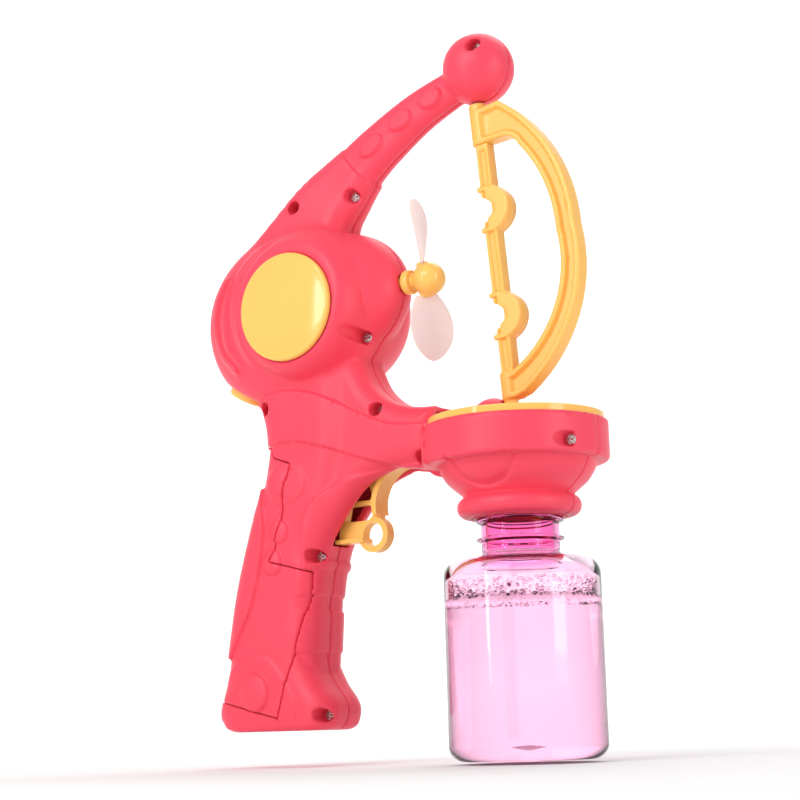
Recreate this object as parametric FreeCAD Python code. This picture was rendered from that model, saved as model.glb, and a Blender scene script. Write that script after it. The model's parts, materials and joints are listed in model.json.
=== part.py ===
"""Bow-shaped toy bubble machine, modelled as the separate pieces it is assembled from.

Frame: origin at the centre of the bottle's base, +X towards the bow, +Y to the user's left,
+Z up the bottle. The casing is split in the plane y = 0. All sizes are in millimetres.
"""
import FreeCAD, Part
import math
import os

V = FreeCAD.Vector
X_AXIS = V(1, 0, 0)
Y_AXIS = V(0, 1, 0)
Z_AXIS = V(0, 0, 1)
FAR = 80.0                 # longer than any cut needs to be

# ---- casing -------------------------------------------------------------------------------
WALL = 2.0                 # thickness of the moulded casing
GRIP_HALF = 13.5           # half the width of the grip
GRIP_ROUND = 10.0          # rounding of the grip's upright edges
# height, rear edge and front edge of the grip, from the foot upwards
GRIP_SECTIONS = [
    (11.2, -116.5, -74.5), (14.5, -120.5, -71.2), (18.5, -121.2, -70.7), (27.0, -118.4, -75.6),
    (34.0, -117.4, -78.2), (57.0, -114.2, -76.0), (76.0, -108.8, -71.5), (95.0, -102.0, -66.0),
    (112.0, -98.2, -62.0), (134.0, -101.0, -62.0),
]
NECK_HALF = 11.5           # half the width of the neck that carries the dish
NECK_ROUND = 7.0
BODY_AT = (-92.0, 157.0)   # centre of the round rear body, x and z
BODY_R = 32.5
BODY_HALF = 17.5
POD_AT = (-77.0, 159.0)    # centre of the wide middle of the body
POD_R = 28.3
POD_HALF = 24.0
CAP_AT = V(-77.0, 0, 157.4)   # centre of the glossy discs on the two sides
CAP_R = 19.5
CAP_RISE = 3.4             # how far a disc's middle stands off the casing
NACELLE_Z = 162.0          # axis of the domed motor housing
NACELLE_R = 23.8
NACELLE_REAR_X = -66.0
NACELLE_FRONT_X = -45.5
BALL_AT = V(-9.6, 0, 235.4)
BALL_R = 12.4
# centre x, centre z, direction angle, half height, half width of each section of the arm
ARM_SLEEVE = [(-88.0, 172.5, 74.0, 22.6, 13.5), (-77.0, 192.4, 66.0, 15.6, 10.2),
              (-66.8, 202.3, 58.0, 13.0, 8.2),
              (-60.4, 207.6, 45.0, 10.0, 7.6)]
ARM_SLIM = [(-66.0, 203.5, 48.0, 9.0, 6.6), (-59.2, 209.9, 38.0, 8.2, 6.4), (-49.7, 216.4, 29.4, 7.3, 6.2),
            (-33.5, 225.3, 20.6, 6.2, 5.7), (-16.0, 232.0, 17.0, 5.2, 5.0)]

# ---- dish, tray and bottle ----------------------------------------------------------------
DISH_R = 30.35
DISH_TOP = 109.0
DISH_LOW = 96.0            # lower edge of the upright wall
COLLAR_R = 20.4
COLLAR_Z = 81.4
COLLAR_TOP = 85.6
COLLAR_LOW = 77.2
TRAY_R = 28.2              # the lip that rests on the dish
BOWL_R = 23.9
TRAY_FLOOR = 97.5
TRAY_WALL = 1.3
SPOUT_TOP = V(12.1, 0, 97.0)   # the drain leaves the tray in front of the bridge and leans back into the neck
SPOUT_LEAN = V(-0.31, 0, -0.951)
SPOUT_LENGTH = 17.5
RIM_TOP = 111.6
RIM_R = 29.3
BRIDGE_HALF = 7.8          # the casing's bridge over the tray
BRIDGE_TOP = 114.4
BRIDGE_END_X = 0.8         # centre of the dome at the end of the bridge
BOTTLE_R = 25.3
BOTTLE_WALL = 1.2
BOTTLE_BASE_ROUND = 4.5
BOTTLE_SHOULDER = 59.0
BOTTLE_NECK_Z = 66.5
BOTTLE_NECK_R = 12.5
BOTTLE_THREAD_R = 13.7
BOTTLE_TOP = 84.0
LIQUID_TOP = 48.0
FOAM_TOP = 57.5

# ---- bow and its drive --------------------------------------------------------------------
BOW_FOOT = V(-1.5, 0, 118.0)
BOW_LEAN = 4.87            # degrees, the top of the bow leans back
BOW_HALF = 3.2             # half its thickness in y
BOW_TOP_W = 104.9          # height of the top sleeve's end above the foot, along the bow's axis
BOW_INNER_TOP = 90.0       # height at which the open middle of the bow ends
SLEEVE_R = 3.1
NOTCHES_W = (29.2, 66.9)   # heights of the two film rings on the bar
NOTCH_U = 0.3
NOTCH_R_OUT = 8.2
NOTCH_R_IN = 6.2
PIVOT_R = 1.25
STEM_R = 1.7
DRIVE_W = -10.4            # middle of the pinion below the bow's foot
DRIVE_MODULE = 0.6
DRIVE_TEETH = 8
RUN_GAP = 0.05             # radial clearance of every running fit

# ---- trigger ------------------------------------------------------------------------------
TRIGGER_PIVOT = V(-42.5, 0, 114.5)
TRIGGER_ARM = 11.8         # pivot to the rack's pin
TRIGGER_SWING = 12.0       # degrees of travel
TRIGGER_WEB = 1.6          # half thickness of the plate
TRIGGER_FLANGE = 3.8       # half width of the finger flange
RING_AT = (-57.6, 77.4)
RING_R_OUT = 6.2
RING_R_IN = 4.1
SLOT_HALF = 4.6

# ---- fan, motor, gears and pump -----------------------------------------------------------
SHAFT_Z = 164.5
SHAFT_R = 1.0
HUB_X = -32.5
HUB_R = 5.6
FAN_R = 30.0
BLADE_HALF_CHORD = 9.0
BLADE_THICK = 1.2
FAN_TURN = 10.0            # how far the upper blade leans to the user's right at rest
BLADE_X = -35.5             # plane the blades turn in
BLADE_PITCH = -72.0
MOTOR_FRONT = -61.0
MOTOR_REAR = -86.0
MOTOR_R = 10.0
MOTOR_HALF_FLAT = 7.6
GEAR_MODULE = 0.5
SMALL_TEETH = 10
LARGE_TEETH = 30
FACE = 2.0                 # width of the gears
FIRST_STAGE_X = -91.0
SECOND_STAGE_X = -94.2
PUMP_REAR = -107.5
PUMP_FRONT = -96.0
PUMP_TUBE_X = -101.6
PUMP_LOOP_R = 6.4
TUBE_R = 1.5
ROLLER_R = 1.6
ROLLER_ARM = 3.2           # pump's axis to a roller's axis
TUBE_BORE_R = 0.8
# the two tubes' centre lines: an inner point is x, y, z and the radius of the bend there
SUCTION_X = -6.5           # where the tube stands in the bottle
SUCTION_Y = 4.6
PORT_Y = 7.4               # open ends of the pump's loop
LEG_Y = 10.6
SUCTION_ROUTE = [(SUCTION_X, SUCTION_Y, 7.5), (SUCTION_X, SUCTION_Y, 106.2, 7.0),
                 (-46.0, SUCTION_Y, 106.2, 14.0),
                 (-82.0, 8.0, 119.5, 16.0), (PUMP_TUBE_X, LEG_Y, 140.5, 14.0),
                 (PUMP_TUBE_X, LEG_Y, SHAFT_Z - PUMP_LOOP_R, 3.1),
                 (PUMP_TUBE_X, PORT_Y, SHAFT_Z - PUMP_LOOP_R)]
DELIVERY_ROUTE = [(PUMP_TUBE_X, PORT_Y, SHAFT_Z + PUMP_LOOP_R),
                  (PUMP_TUBE_X, LEG_Y, SHAFT_Z + PUMP_LOOP_R, 3.1),
                  (PUMP_TUBE_X, LEG_Y, 174.8, 1.5), (-85.0, 5.0, 186.0, 12.0), (-62.0, 0, 207.4, 16.0),
                  (-34.0, 0, 225.3, 20.0), (-17.0, 0, 231.8, 14.0), (-4.5, 0, 234.4, 3.2), (-4.2, 0, 225.2)]

# ---- grip contents ------------------------------------------------------------------------
CELL_R = 7.1
CELL_SPACING = 14.6
PACK_AT = V(-97.3, 0, 41.6)
PACK_LEAN = 12.0
# outline of the battery door in the x-z plane, front edge first
DOOR_OUTLINE = [(-130, 113), (-94.0, 109.0), (-91.9, 106.6), (-83.8, 103.7), (-87.6, 90.0), (-93.7, 70.2),
                (-79.2, 66.2), (-84.4, 38.5), (-90.4, 15.8), (-130, 25.6)]
DOOR_GAP = 0.35
DOOR_OFF_ANGLE = 14.0      # the door comes off rearwards and this much upwards
DOOR_SCREW_Z = 61.5
BUTTON_AT = V(-110.2, 0, 134.0)
BUTTON_TILT = 209.4        # direction its face points, turned about y from +Z
BUTTON_R = 7.6

# screw places on the casing, x and z
SCREWS = [(-83.7, 197.5), (-59.0, 197.0), (-55.0, 145.8), (-49.3, 119.2), (-95.6, 124.4),
          (-30.6, 100.5), (-76.8, 70.8), (-74.6, 16.3), (-5.5, 240.6), (26.6, 100.0)]
BOSS_R = 2.9
HEAD_R = 2.3
SCREW_R = 1.2


# ---- helpers ------------------------------------------------------------------------------
def rod(start, axis, radius, length):
    return Part.makeCylinder(radius, length, start, axis)


def pipe(start, axis, outer, inner, length):
    return rod(start, axis, outer, length).cut(rod(start, axis, inner, length))


def block(x, y, z):
    """A box from its lowest and highest x, y and z."""
    return Part.makeBox(x[1] - x[0], y[1] - y[0], z[1] - z[0], V(x[0], y[0], z[0]))


def join(shapes):
    whole = shapes[0]
    for shape in shapes[1:]:
        whole = whole.fuse(shape)
    return whole


def trim(shape, tools):
    for tool in tools:
        shape = shape.cut(tool)
    return shape


def prism(outline, half, centre=0.0):
    """The x-z outline extruded half each way from y = centre. An item is a point, or an arc as
    (middle point, end point) that starts where the last item ended."""
    edges = []
    first = V(outline[0][0], centre - half, outline[0][1])
    here = first
    for item in outline[1:] + [outline[0]]:
        is_arc = isinstance(item[0], tuple)
        end = item[1] if is_arc else item
        there = V(end[0], centre - half, end[1])
        if is_arc:
            middle = V(item[0][0], centre - half, item[0][1])
            edges.append(Part.Arc(here, middle, there).toShape())
        elif (there - here).Length > 1e-6:
            edges.append(Part.makeLine(here, there))
        here = there
    return Part.Face(Part.Wire(edges)).extrude(V(0, 2 * half, 0))


def lathe(outline, axis_at=V(0, 0, 0), axis=Z_AXIS):
    """An outline of (radius, height) turned about an axis. Arcs are given as in prism."""
    side = X_AXIS if abs(axis.x) < 0.5 else Z_AXIS
    def place(point):
        return axis_at + side * point[0] + axis * point[1]
    edges = []
    here = place(outline[0])
    for item in outline[1:] + [outline[0]]:
        is_arc = isinstance(item[0], tuple)
        there = place(item[1] if is_arc else item)
        if is_arc:
            edges.append(Part.Arc(here, place(item[0]), there).toShape())
        elif (there - here).Length > 1e-6:
            edges.append(Part.makeLine(here, there))
        here = there
    solid = Part.Face(Part.Wire(edges)).revolve(axis_at, axis, 360)
    return Part.makeSolid(solid.Shells[0]) if solid.Volume < 0 else solid


def round_frame(half_a, half_b, radius):
    """A closed wire, a rectangle with rounded corners about the origin in the x-y plane."""
    radius = min(radius, half_a - 0.2, half_b - 0.2)
    a = half_a - radius
    b = half_b - radius
    k = radius * math.sqrt(0.5)
    edges = []
    for sx, sy in ((1, 1), (-1, 1), (-1, -1), (1, -1)):
        first = V(sx * half_a, sy * b, 0)
        last = V(sx * a, sy * half_b, 0)
        if sx * sy < 0:
            first, last = last, first
        edges.append(Part.Arc(first, V(sx * (a + k), sy * (b + k), 0), last).toShape())
    corners = []
    for number, edge in enumerate(edges):
        corners.append(edge)
        following = edges[(number + 1) % 4]
        start = edge.valueAt(edge.LastParameter)
        end = following.valueAt(following.FirstParameter)
        corners.append(Part.makeLine(start, end))
    return Part.Wire(corners)


def export(name, shape):
    solids = shape.Solids
    body = solids[0] if len(solids) == 1 else Part.makeCompound(solids)
    body.exportStep("parts/%s.step" % name)
    print("%-20s solids %d volume %.1f valid %s" % (name, len(solids), body.Volume, body.isValid()))


# ---- outer and inner forms of the casing --------------------------------------------------
def grip_form(inset):
    wires = []
    last = len(GRIP_SECTIONS) - 1
    for number, (z, rear, front) in enumerate(GRIP_SECTIONS):
        height = z + inset if number == 0 else z
        if number == last:
            height = z - inset
        wire = round_frame((front - rear) / 2 - inset, GRIP_HALF - inset, GRIP_ROUND - inset)
        wire.translate(V((front + rear) / 2, 0, height))
        wires.append(wire)
    return Part.makeLoft(wires, True, True)


def neck_form(inset):
    low = 96.6 + inset
    top = 118.0 - inset
    outline = [(-62, 142), (-57.5 - inset, 137.0), ((-50.4 - inset, 125.0 - inset), (-36.0, top + 0.8)),
               (-27.5, top), (-27.5, low), (-42.0, low),
               ((-60.5 - inset * 0.7, 89.0 + inset * 0.7), (-68.0 - inset, 74.0)),
               (-80, 74.0), (-80, 142)]
    form = prism(outline, NECK_HALF - inset)
    side = [edge for edge in form.Edges
            if abs(edge.BoundBox.YLength) < 1e-6 and edge.CenterOfMass.x > -75]
    return form.makeFillet(max(NECK_ROUND - inset, 1.0), side)


def disc_form(at, radius, half, flat, inset):
    """A round body on a crosswise axis: flat in the middle and rounded to its edge."""
    r = radius - inset
    h = half - inset
    f = flat - inset * 0.4
    bend = (f + (r - f) * 0.75, h * 0.69)
    bend_low = (bend[0], -bend[1])
    outline = [(0, -h), (f, -h), (bend_low, (r, -h * 0.12)), (r, h * 0.12), (bend, (f, h)), (0, h)]
    return lathe(outline, V(at[0], 0, at[1]), Y_AXIS)


def nacelle_form(inset):
    r = NACELLE_R - inset
    front = NACELLE_FRONT_X - inset
    bend = (r * 0.66, front - 4.9)
    outline = [(0, NACELLE_REAR_X - 10), (r, NACELLE_REAR_X - 10), (r, NACELLE_REAR_X),
               (bend, (3.4, front)), (0, front)]
    return lathe(outline, V(0, 0, NACELLE_Z), X_AXIS)


def arm_form(sections, inset):
    wires = []
    for x, z, angle, half_height, half_width in sections:
        wire = round_frame(half_height - inset, half_width - inset, 6.0 - inset)
        wire.rotate(V(0, 0, 0), Y_AXIS, 90 - angle)
        wire.translate(V(x, 0, z))
        wires.append(wire)
    return Part.makeLoft(wires, True, False)


def dish_form():
    outline = [(0, COLLAR_LOW), (17.2, COLLAR_LOW), ((COLLAR_R, COLLAR_Z), (17.6, COLLAR_TOP)),
               ((23.9, 89.1), (27.6, DISH_LOW - 1.8)), ((29.6, DISH_LOW + 0.4), (DISH_R, DISH_LOW + 4.0)),
               (DISH_R, DISH_TOP), (0, DISH_TOP)]
    return lathe(outline)


def dish_space():
    """Room inside the dish for the tray, and below it down to the bottle socket."""
    outline = [(0, COLLAR_LOW - 1), (15.4, COLLAR_LOW - 1), (15.4, COLLAR_TOP + 0.6),
               (25.2, DISH_LOW - 1.0), (TRAY_R - 0.6, DISH_LOW + 2.0), (TRAY_R + 0.15, DISH_LOW + 4.0),
               (TRAY_R + 0.15, DISH_TOP + 20),
               (0, DISH_TOP + 20)]
    return lathe(outline)


def bridge_form(inset):
    """The bridge that carries the rack across the tray and ends in a dome round the pinion."""
    half = BRIDGE_HALF - inset
    top = BRIDGE_TOP - inset
    bar = block((-31, BRIDGE_END_X), (-half, half), (DISH_LOW - 2, top))
    end = rod(V(BRIDGE_END_X, 0, DISH_LOW - 2), Z_AXIS, half + 0.4, top - DISH_LOW + 2)
    whole = bar.fuse(end).removeSplitter()
    level = [edge for edge in whole.Edges if edge.BoundBox.ZLength < 1e-6]
    ridge = [edge for edge in level if abs(edge.CenterOfMass.z - top) < 1e-3 and edge.CenterOfMass.x > -30]
    return whole.makeFillet(max(3.0 - inset, 0.8), ridge)


def casing_solid(inset):
    forms = [grip_form(inset), neck_form(inset), disc_form(BODY_AT, BODY_R, BODY_HALF, 17.0, inset),
             disc_form(POD_AT, POD_R, POD_HALF, 20.5, inset), nacelle_form(inset),
             arm_form(ARM_SLEEVE, inset), arm_form(ARM_SLIM, inset)]
    forms.append(Part.makeSphere(BALL_R - inset, BALL_AT))
    return join(forms)


def tilted(shape, angle, place):
    """Turn a shape about y by an angle in degrees, then move it to its place."""
    moved = shape.copy()
    moved.rotate(V(0, 0, 0), Y_AXIS, angle)
    moved.translate(place)
    return moved


def bow_place(shape):
    """From the bow's upright frame, with its axis on z and its foot at 0, to the model's frame."""
    return tilted(shape, -BOW_LEAN, BOW_FOOT)


BOW_AXIS = V(-math.sin(math.radians(BOW_LEAN)), 0, math.cos(math.radians(BOW_LEAN)))
RACK_AXIS = V(math.cos(math.radians(BOW_LEAN)), 0, math.sin(math.radians(BOW_LEAN)))
BUTTON_AXIS = V(math.sin(math.radians(BUTTON_TILT)), 0, math.cos(math.radians(BUTTON_TILT)))
DRIVE_R = DRIVE_MODULE * DRIVE_TEETH / 2
DRIVE_AT = BOW_FOOT + BOW_AXIS * DRIVE_W
PIN_ANGLE = math.radians(BOW_LEAN + TRIGGER_SWING / 2)
PIN_AT = TRIGGER_PIVOT + V(math.sin(PIN_ANGLE), 0, -math.cos(PIN_ANGLE)) * TRIGGER_ARM


# ---- casing shells ------------------------------------------------------------------------
def trigger_slot():
    return prism([(-35.5, 90), (-35.5, 101.5), (-66, 101.5), (-86, 80), (-86, 73.2), (-60, 73.2)],
                 SLOT_HALF)


def door_cutter(grow):
    cutter = prism(DOOR_OUTLINE, 20)
    if grow:
        cutter = cutter.fuse(cutter.translated(V(DOOR_GAP, 0, 0))).fuse(cutter.translated(V(0, 0,
                                                                                            -DOOR_GAP)))
        cutter = cutter.fuse(cutter.translated(V(0, 0, 2 * DOOR_GAP)))
    return cutter


def dish_reach(x, z):
    """Whether a place lies in the dish rather than in the rest of the casing."""
    return x > 0 and z < DISH_TOP


def screw_start(x, z):
    """Depth at which the screw's head sits, as a distance from the middle plane."""
    if dish_reach(x, z):
        return 11.3
    in_arm = z > 190.0 and x < BALL_AT.x - BALL_R
    return 3.4 if in_arm else 5.6


def casing():
    outer = casing_solid(0).fuse(dish_form()).fuse(bridge_form(0))
    dish_inner = dish_space()
    hollow = casing_solid(WALL)
    bridge_inner = bridge_form(1.3)
    open_dish = dish_inner.cut(bridge_form(0))
    shell = outer.cut(open_dish).cut(hollow.cut(dish_form().cut(bridge_form(0))))
    shell = shell.cut(bridge_inner)
    under = block((-60, 26), (-BRIDGE_HALF + 1.3, BRIDGE_HALF - 1.3), (DISH_LOW - 6, DISH_LOW))
    shell = shell.cut(under.common(dish_inner))
    passage = block((-34, -26), (-BRIDGE_HALF + 1.3, BRIDGE_HALF - 1.3), (DISH_LOW + 2.6, BRIDGE_TOP - 1.3))
    shell = shell.cut(passage)
    bosses = [rod(V(x, -40, z), Y_AXIS, BOSS_R, 80).common(outer) for x, z in SCREWS]
    posts = [rod(TRIGGER_PIVOT + Y_AXIS * side * 3.4, Y_AXIS * side, 2.6,
                 NECK_HALF - 4.4) for side in (-1, 1)]
    shell = join([shell] + bosses + posts)
    cuts = [rod(V(x, -40, z), Y_AXIS, HEAD_R + 0.4, 40 - screw_start(x, z)) for x, z in SCREWS]
    cuts += [rod(V(x, -screw_start(x, z), z), Y_AXIS, SCREW_R + 0.3, screw_start(x, z)) for x, z in SCREWS]
    cuts += [rod(V(x, 0, z), Y_AXIS, SCREW_R, 5.2) for x, z in SCREWS]
    cuts.append(rod(TRIGGER_PIVOT - Y_AXIS * 7.5, Y_AXIS, PIVOT_R + 0.02, 15))
    cuts.append(trigger_slot())
    cuts.append(rod(V(-60, 0, SHAFT_Z), X_AXIS, 3.2, 20))
    cuts.append(rod(BOW_FOOT + BOW_AXIS * -9, BOW_AXIS, 3.2, 9))
    cuts.append(rod(BOW_FOOT + BOW_AXIS * 100, BOW_AXIS, PIVOT_R + 0.02, 14))
    cuts.append(rod(V(DELIVERY_ROUTE[-1][0], 0, 221), Z_AXIS, TUBE_R + 0.1, 10))
    cuts.append(rod(BUTTON_AT - BUTTON_AXIS * 8, BUTTON_AXIS, BUTTON_R + 0.35, 20))
    return trim(shell, cuts)


def casing_parts():
    shell = casing()
    whole = shell.cut(door_cutter(True))
    right = whole.common(block((-150, 60), (-60, 0), (-10, 300)))
    left = whole.common(block((-150, 60), (0, 60), (-10, 300)))
    door = grip_form(0).cut(grip_form(WALL)).common(door_cutter(False))
    keep = max(door.Solids, key=lambda solid: solid.Volume)
    screw_at = door_screw_place()
    keep = keep.cut(rod(screw_at, DOOR_OFF, HEAD_R + 0.3, 10)).cut(rod(screw_at - DOOR_OFF * 6,
                                                                       DOOR_OFF, 1.5, 12))
    return biggest(left), biggest(right), keep


def biggest(shape):
    return max(shape.Solids, key=lambda solid: solid.Volume)


DOOR_OFF = V(-math.cos(math.radians(DOOR_OFF_ANGLE)), 0, math.sin(math.radians(DOOR_OFF_ANGLE)))


def door_screw_place():
    """Where the door screw's head sits: a little inside the rear of the grip."""
    return V(-112.6, 0, DOOR_SCREW_Z)


def pan_screw(head_at, axis, length):
    head = rod(head_at, axis * -1, HEAD_R, 1.3)
    shank = rod(head_at, axis, SCREW_R - 0.02, length)
    slot = block((-HEAD_R, HEAD_R), (-0.3, 0.3), (-0.3, 0.3))
    slot = slot.fuse(block((-0.3, 0.3), (-HEAD_R, HEAD_R), (-0.3, 0.3)))
    slot.rotate(V(0, 0, 0), V(1, 1, 0), 180)
    if abs(axis.y) > 0.5:
        slot.rotate(V(0, 0, 0), X_AXIS, 90)
    else:
        slot.rotate(V(0, 0, 0), Y_AXIS, 90)
    slot.translate(head_at - axis * 1.3)
    return head.fuse(shank).cut(slot)


def shell_screws():
    screws = [pan_screw(V(x, -screw_start(x, z), z), Y_AXIS, screw_start(x, z) + 4.4) for x, z in SCREWS]
    return Part.makeCompound(screws)


def side_cap(side):
    """Glossy domed disc on the flat of the body's side."""
    seat = POD_HALF + 0.02
    dome = [(0, seat), (CAP_R, seat), (CAP_R, POD_HALF + 1.2),
            ((12.0, POD_HALF + 2.8), (0.4, POD_HALF + CAP_RISE)), (0, POD_HALF + CAP_RISE)]
    cap = lathe(dome, CAP_AT, Y_AXIS)
    return cap if side > 0 else cap.mirror(V(0, 0, 0), Y_AXIS)


# ---- dish and bottle ----------------------------------------------------------------------
def drip_tray():
    """Round tray whose rim stands out of the dish, with a drain spout into the bottle."""
    wall_in = BOWL_R - TRAY_WALL
    low = TRAY_FLOOR - TRAY_WALL
    outline = [(0, TRAY_FLOOR), (wall_in - 4, TRAY_FLOOR), ((wall_in - 1.2, TRAY_FLOOR + 1.2),
                                                            (wall_in, TRAY_FLOOR + 4)),
               (wall_in, RIM_TOP - 1.6), (RIM_R - 2.0, RIM_TOP - 0.6), (RIM_R - 1.6, RIM_TOP),
               (RIM_R - 0.4, RIM_TOP),
               ((RIM_R - 0.1, RIM_TOP - 0.1), (RIM_R, RIM_TOP - 0.4)), (RIM_R, DISH_TOP + 0.02),
               (BOWL_R, DISH_TOP + 0.02),
               (BOWL_R, TRAY_FLOOR + 3.4), ((BOWL_R - 1.4, TRAY_FLOOR + 0.2), (BOWL_R - 5, low)), (0, low)]
    bowl = lathe(outline)
    spout = rod(SPOUT_TOP, SPOUT_LEAN, 2.0, SPOUT_LENGTH)
    bore = rod(SPOUT_TOP - SPOUT_LEAN * 6, SPOUT_LEAN, 1.4, SPOUT_LENGTH + 12)
    room = bridge_form(-0.3)
    return bowl.fuse(spout).cut(bore).cut(room)


def bottle():
    r = BOTTLE_R
    w = BOTTLE_WALL
    n = BOTTLE_NECK_R
    round_r = BOTTLE_BASE_ROUND
    k = round_r * (1 - math.sqrt(0.5))
    outline = [(0, 4.2), (0.5, 4.2), ((6.0, 3.1), (10.5, 0.0)), (r - round_r, 0),
               ((r - k, k), (r, round_r)),
               (r, BOTTLE_SHOULDER - 2), ((r - 1.9, BOTTLE_SHOULDER + 2.2),
                                          (r - 6.4, BOTTLE_SHOULDER + 4.6)),
               (n + 1.4, BOTTLE_NECK_Z - 1.2), ((n + 0.3, BOTTLE_NECK_Z - 0.6), (n, BOTTLE_NECK_Z + 0.4)),
               (n, BOTTLE_TOP), (n - 1.5, BOTTLE_TOP), (n - 1.5, BOTTLE_NECK_Z - 0.2),
               (n - 0.3, BOTTLE_NECK_Z - 2.0), (r - 6.8, BOTTLE_SHOULDER + 3.2),
               ((r - 3.0, BOTTLE_SHOULDER + 1.2), (r - w, BOTTLE_SHOULDER - 2.2)), (r - w, round_r),
               ((r - w - k, w + k), (r - round_r, w)), (10.8, w), ((6.2, 4.4), (0.5, 5.4)), (0, 5.4)]
    body = lathe(outline)
    rings = [lathe([(n - 0.2, z - 0.9), (BOTTLE_THREAD_R, z - 0.3), (BOTTLE_THREAD_R, z + 0.3),
                    (n - 0.2, z + 0.9)])
             for z in (71.0, 77.0, 80.6)]
    return join([body] + rings)


def bubble_liquid():
    r = BOTTLE_R - BOTTLE_WALL - 0.05
    round_r = BOTTLE_BASE_ROUND
    k = round_r * (1 - math.sqrt(0.5))
    outline = [(0, 5.5), (0.5, 5.5), ((6.3, 4.6), (11.0, BOTTLE_WALL + 0.05)),
               (r - round_r + BOTTLE_WALL, BOTTLE_WALL + 0.05),
               ((r - k, BOTTLE_WALL + k + 0.05), (r, round_r)), (r, LIQUID_TOP), (0, LIQUID_TOP)]
    return lathe(outline).cut(rod(V(SUCTION_X, SUCTION_Y, 0), Z_AXIS, TUBE_R + 0.05, 60))


def bubble_foam():
    r = BOTTLE_R - BOTTLE_WALL - 0.05
    return rod(V(0, 0, LIQUID_TOP), Z_AXIS, r, FOAM_TOP - LIQUID_TOP - 2).cut(
        rod(V(SUCTION_X, SUCTION_Y, 0), Z_AXIS, TUBE_R + 0.05, 60))


def bottle_socket():
    """Threaded cup inside the collar that the bottle screws into, with holes for tube and spout."""
    cup = pipe(V(0, 0, COLLAR_LOW + 0.8), Z_AXIS, 15.3, BOTTLE_THREAD_R + 0.35,
               BOTTLE_TOP - COLLAR_LOW + 0.6)
    plate = rod(V(0, 0, BOTTLE_TOP + 1.4), Z_AXIS, 15.3, 1.2)
    holes = [rod(V(SUCTION_X, SUCTION_Y, 70), Z_AXIS, TUBE_R + 0.05, 30),
             rod(SPOUT_TOP, SPOUT_LEAN, 2.05, 30)]
    return trim(cup.fuse(plate), holes)


def bottle_seal():
    ring = pipe(V(0, 0, BOTTLE_TOP + 0.4), Z_AXIS, 12.6, 10.7, 0.98)
    return ring


# ---- bow ----------------------------------------------------------------------------------
def bow_curve(outer):
    """One edge of the curved limb, from the top sleeve round to the foot."""
    if outer:
        return [(0.0, BOW_TOP_W - 2.8), (9.6, 103.2), ((24.8, 85.8), (32.8, 54.0)),
                ((27.6, 23.0), (10.0, 0.2)), (0.0, 0.0)]
    return [(0.0, BOW_INNER_TOP), (8.2, 90.0), ((12.4, 89.2), (15.4, 85.6)), ((23.6, 69.2), (25.8, 52.5)),
            ((21.0, 26.2), (6.5, 7.0)), (0.0, 7.0)]


def bow_arc():
    """The curved limb with a channel along each face, and the sleeves at its two ends."""
    outer = bow_curve(True)
    inner = bow_curve(False)
    limb = prism(outer, BOW_HALF).cut(prism(inner, FAR))
    gap = 2.5
    outer_rib = [(gap, 101.4), (8.8, 100.8), ((22.9, 84.4), (30.4, 54.0)), ((25.4, 23.8), (9.4, 2.6)),
                 (gap, 2.6)]
    inner_rib = [(gap, 92.4), (9.0, 92.4), ((14.4, 91.4), (17.8, 86.4)), ((26.0, 70.0), (28.2, 52.5)),
                 ((23.0, 24.6), (8.4, 5.2)), (gap, 5.2)]
    channel = prism(outer_rib, FAR).cut(prism(inner_rib, FAR + 1))
    web = 1.4
    sides = [block((-5, 45), (web, 9), (-5, 115)), block((-5, 45), (-9, -web), (-5, 115))]
    limb = trim(limb, [channel.common(side) for side in sides])
    top_sleeve = rod(V(0, 0, BOW_INNER_TOP), Z_AXIS, SLEEVE_R, BOW_TOP_W - BOW_INNER_TOP)
    low_sleeve = rod(V(0, 0, 0), Z_AXIS, SLEEVE_R, 7.0)
    socket = rod(V(0, 0, 94.0), Z_AXIS, PIVOT_R + RUN_GAP, 20)
    stem_hole = rod(V(0, 0, -1), Z_AXIS, STEM_R + 0.02, 5)
    whole = trim(join([limb, top_sleeve, low_sleeve]), [socket, stem_hole])
    return bow_place(biggest(whole))


def film_ring(w):
    """A ring open towards the fan, with a small prong on each tip."""
    ring = pipe(V(NOTCH_U, -BOW_HALF, w), Y_AXIS, NOTCH_R_OUT, NOTCH_R_IN, 2 * BOW_HALF)
    mouth = block((NOTCH_U - 12, NOTCH_U - 0.6), (-9, 9), (w - 12, w + 12))
    ring = ring.cut(mouth)
    prongs = [block((NOTCH_U - 2.0, NOTCH_U), (-BOW_HALF, BOW_HALF), (low, low + 1.0))
              for low in (w + NOTCH_R_OUT - 1.1, w - NOTCH_R_OUT + 0.1)]
    return join([ring] + prongs)


def bow_bar():
    """The straight bar on the pivot line that holds the two film rings."""
    rail = block((-0.4, 2.8), (-2.6, 2.6), (7.05, 89.95))
    groove = [block((0.5, 1.9), (side * 1.4 - 1.2, side * 1.4 + 1.2), (9.0, 88.0)).common(
        block((0, 3), (min(side * 1.2, side * 4), max(side * 1.2, side * 4)),
              (0, 100))) for side in (-1, 1)]
    openings = [rod(V(NOTCH_U, -9, w), Y_AXIS, NOTCH_R_IN, 18) for w in NOTCHES_W]
    whole = trim(rail, groove)
    whole = join([whole] + [film_ring(w) for w in NOTCHES_W])
    return bow_place(trim(whole, openings))


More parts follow.
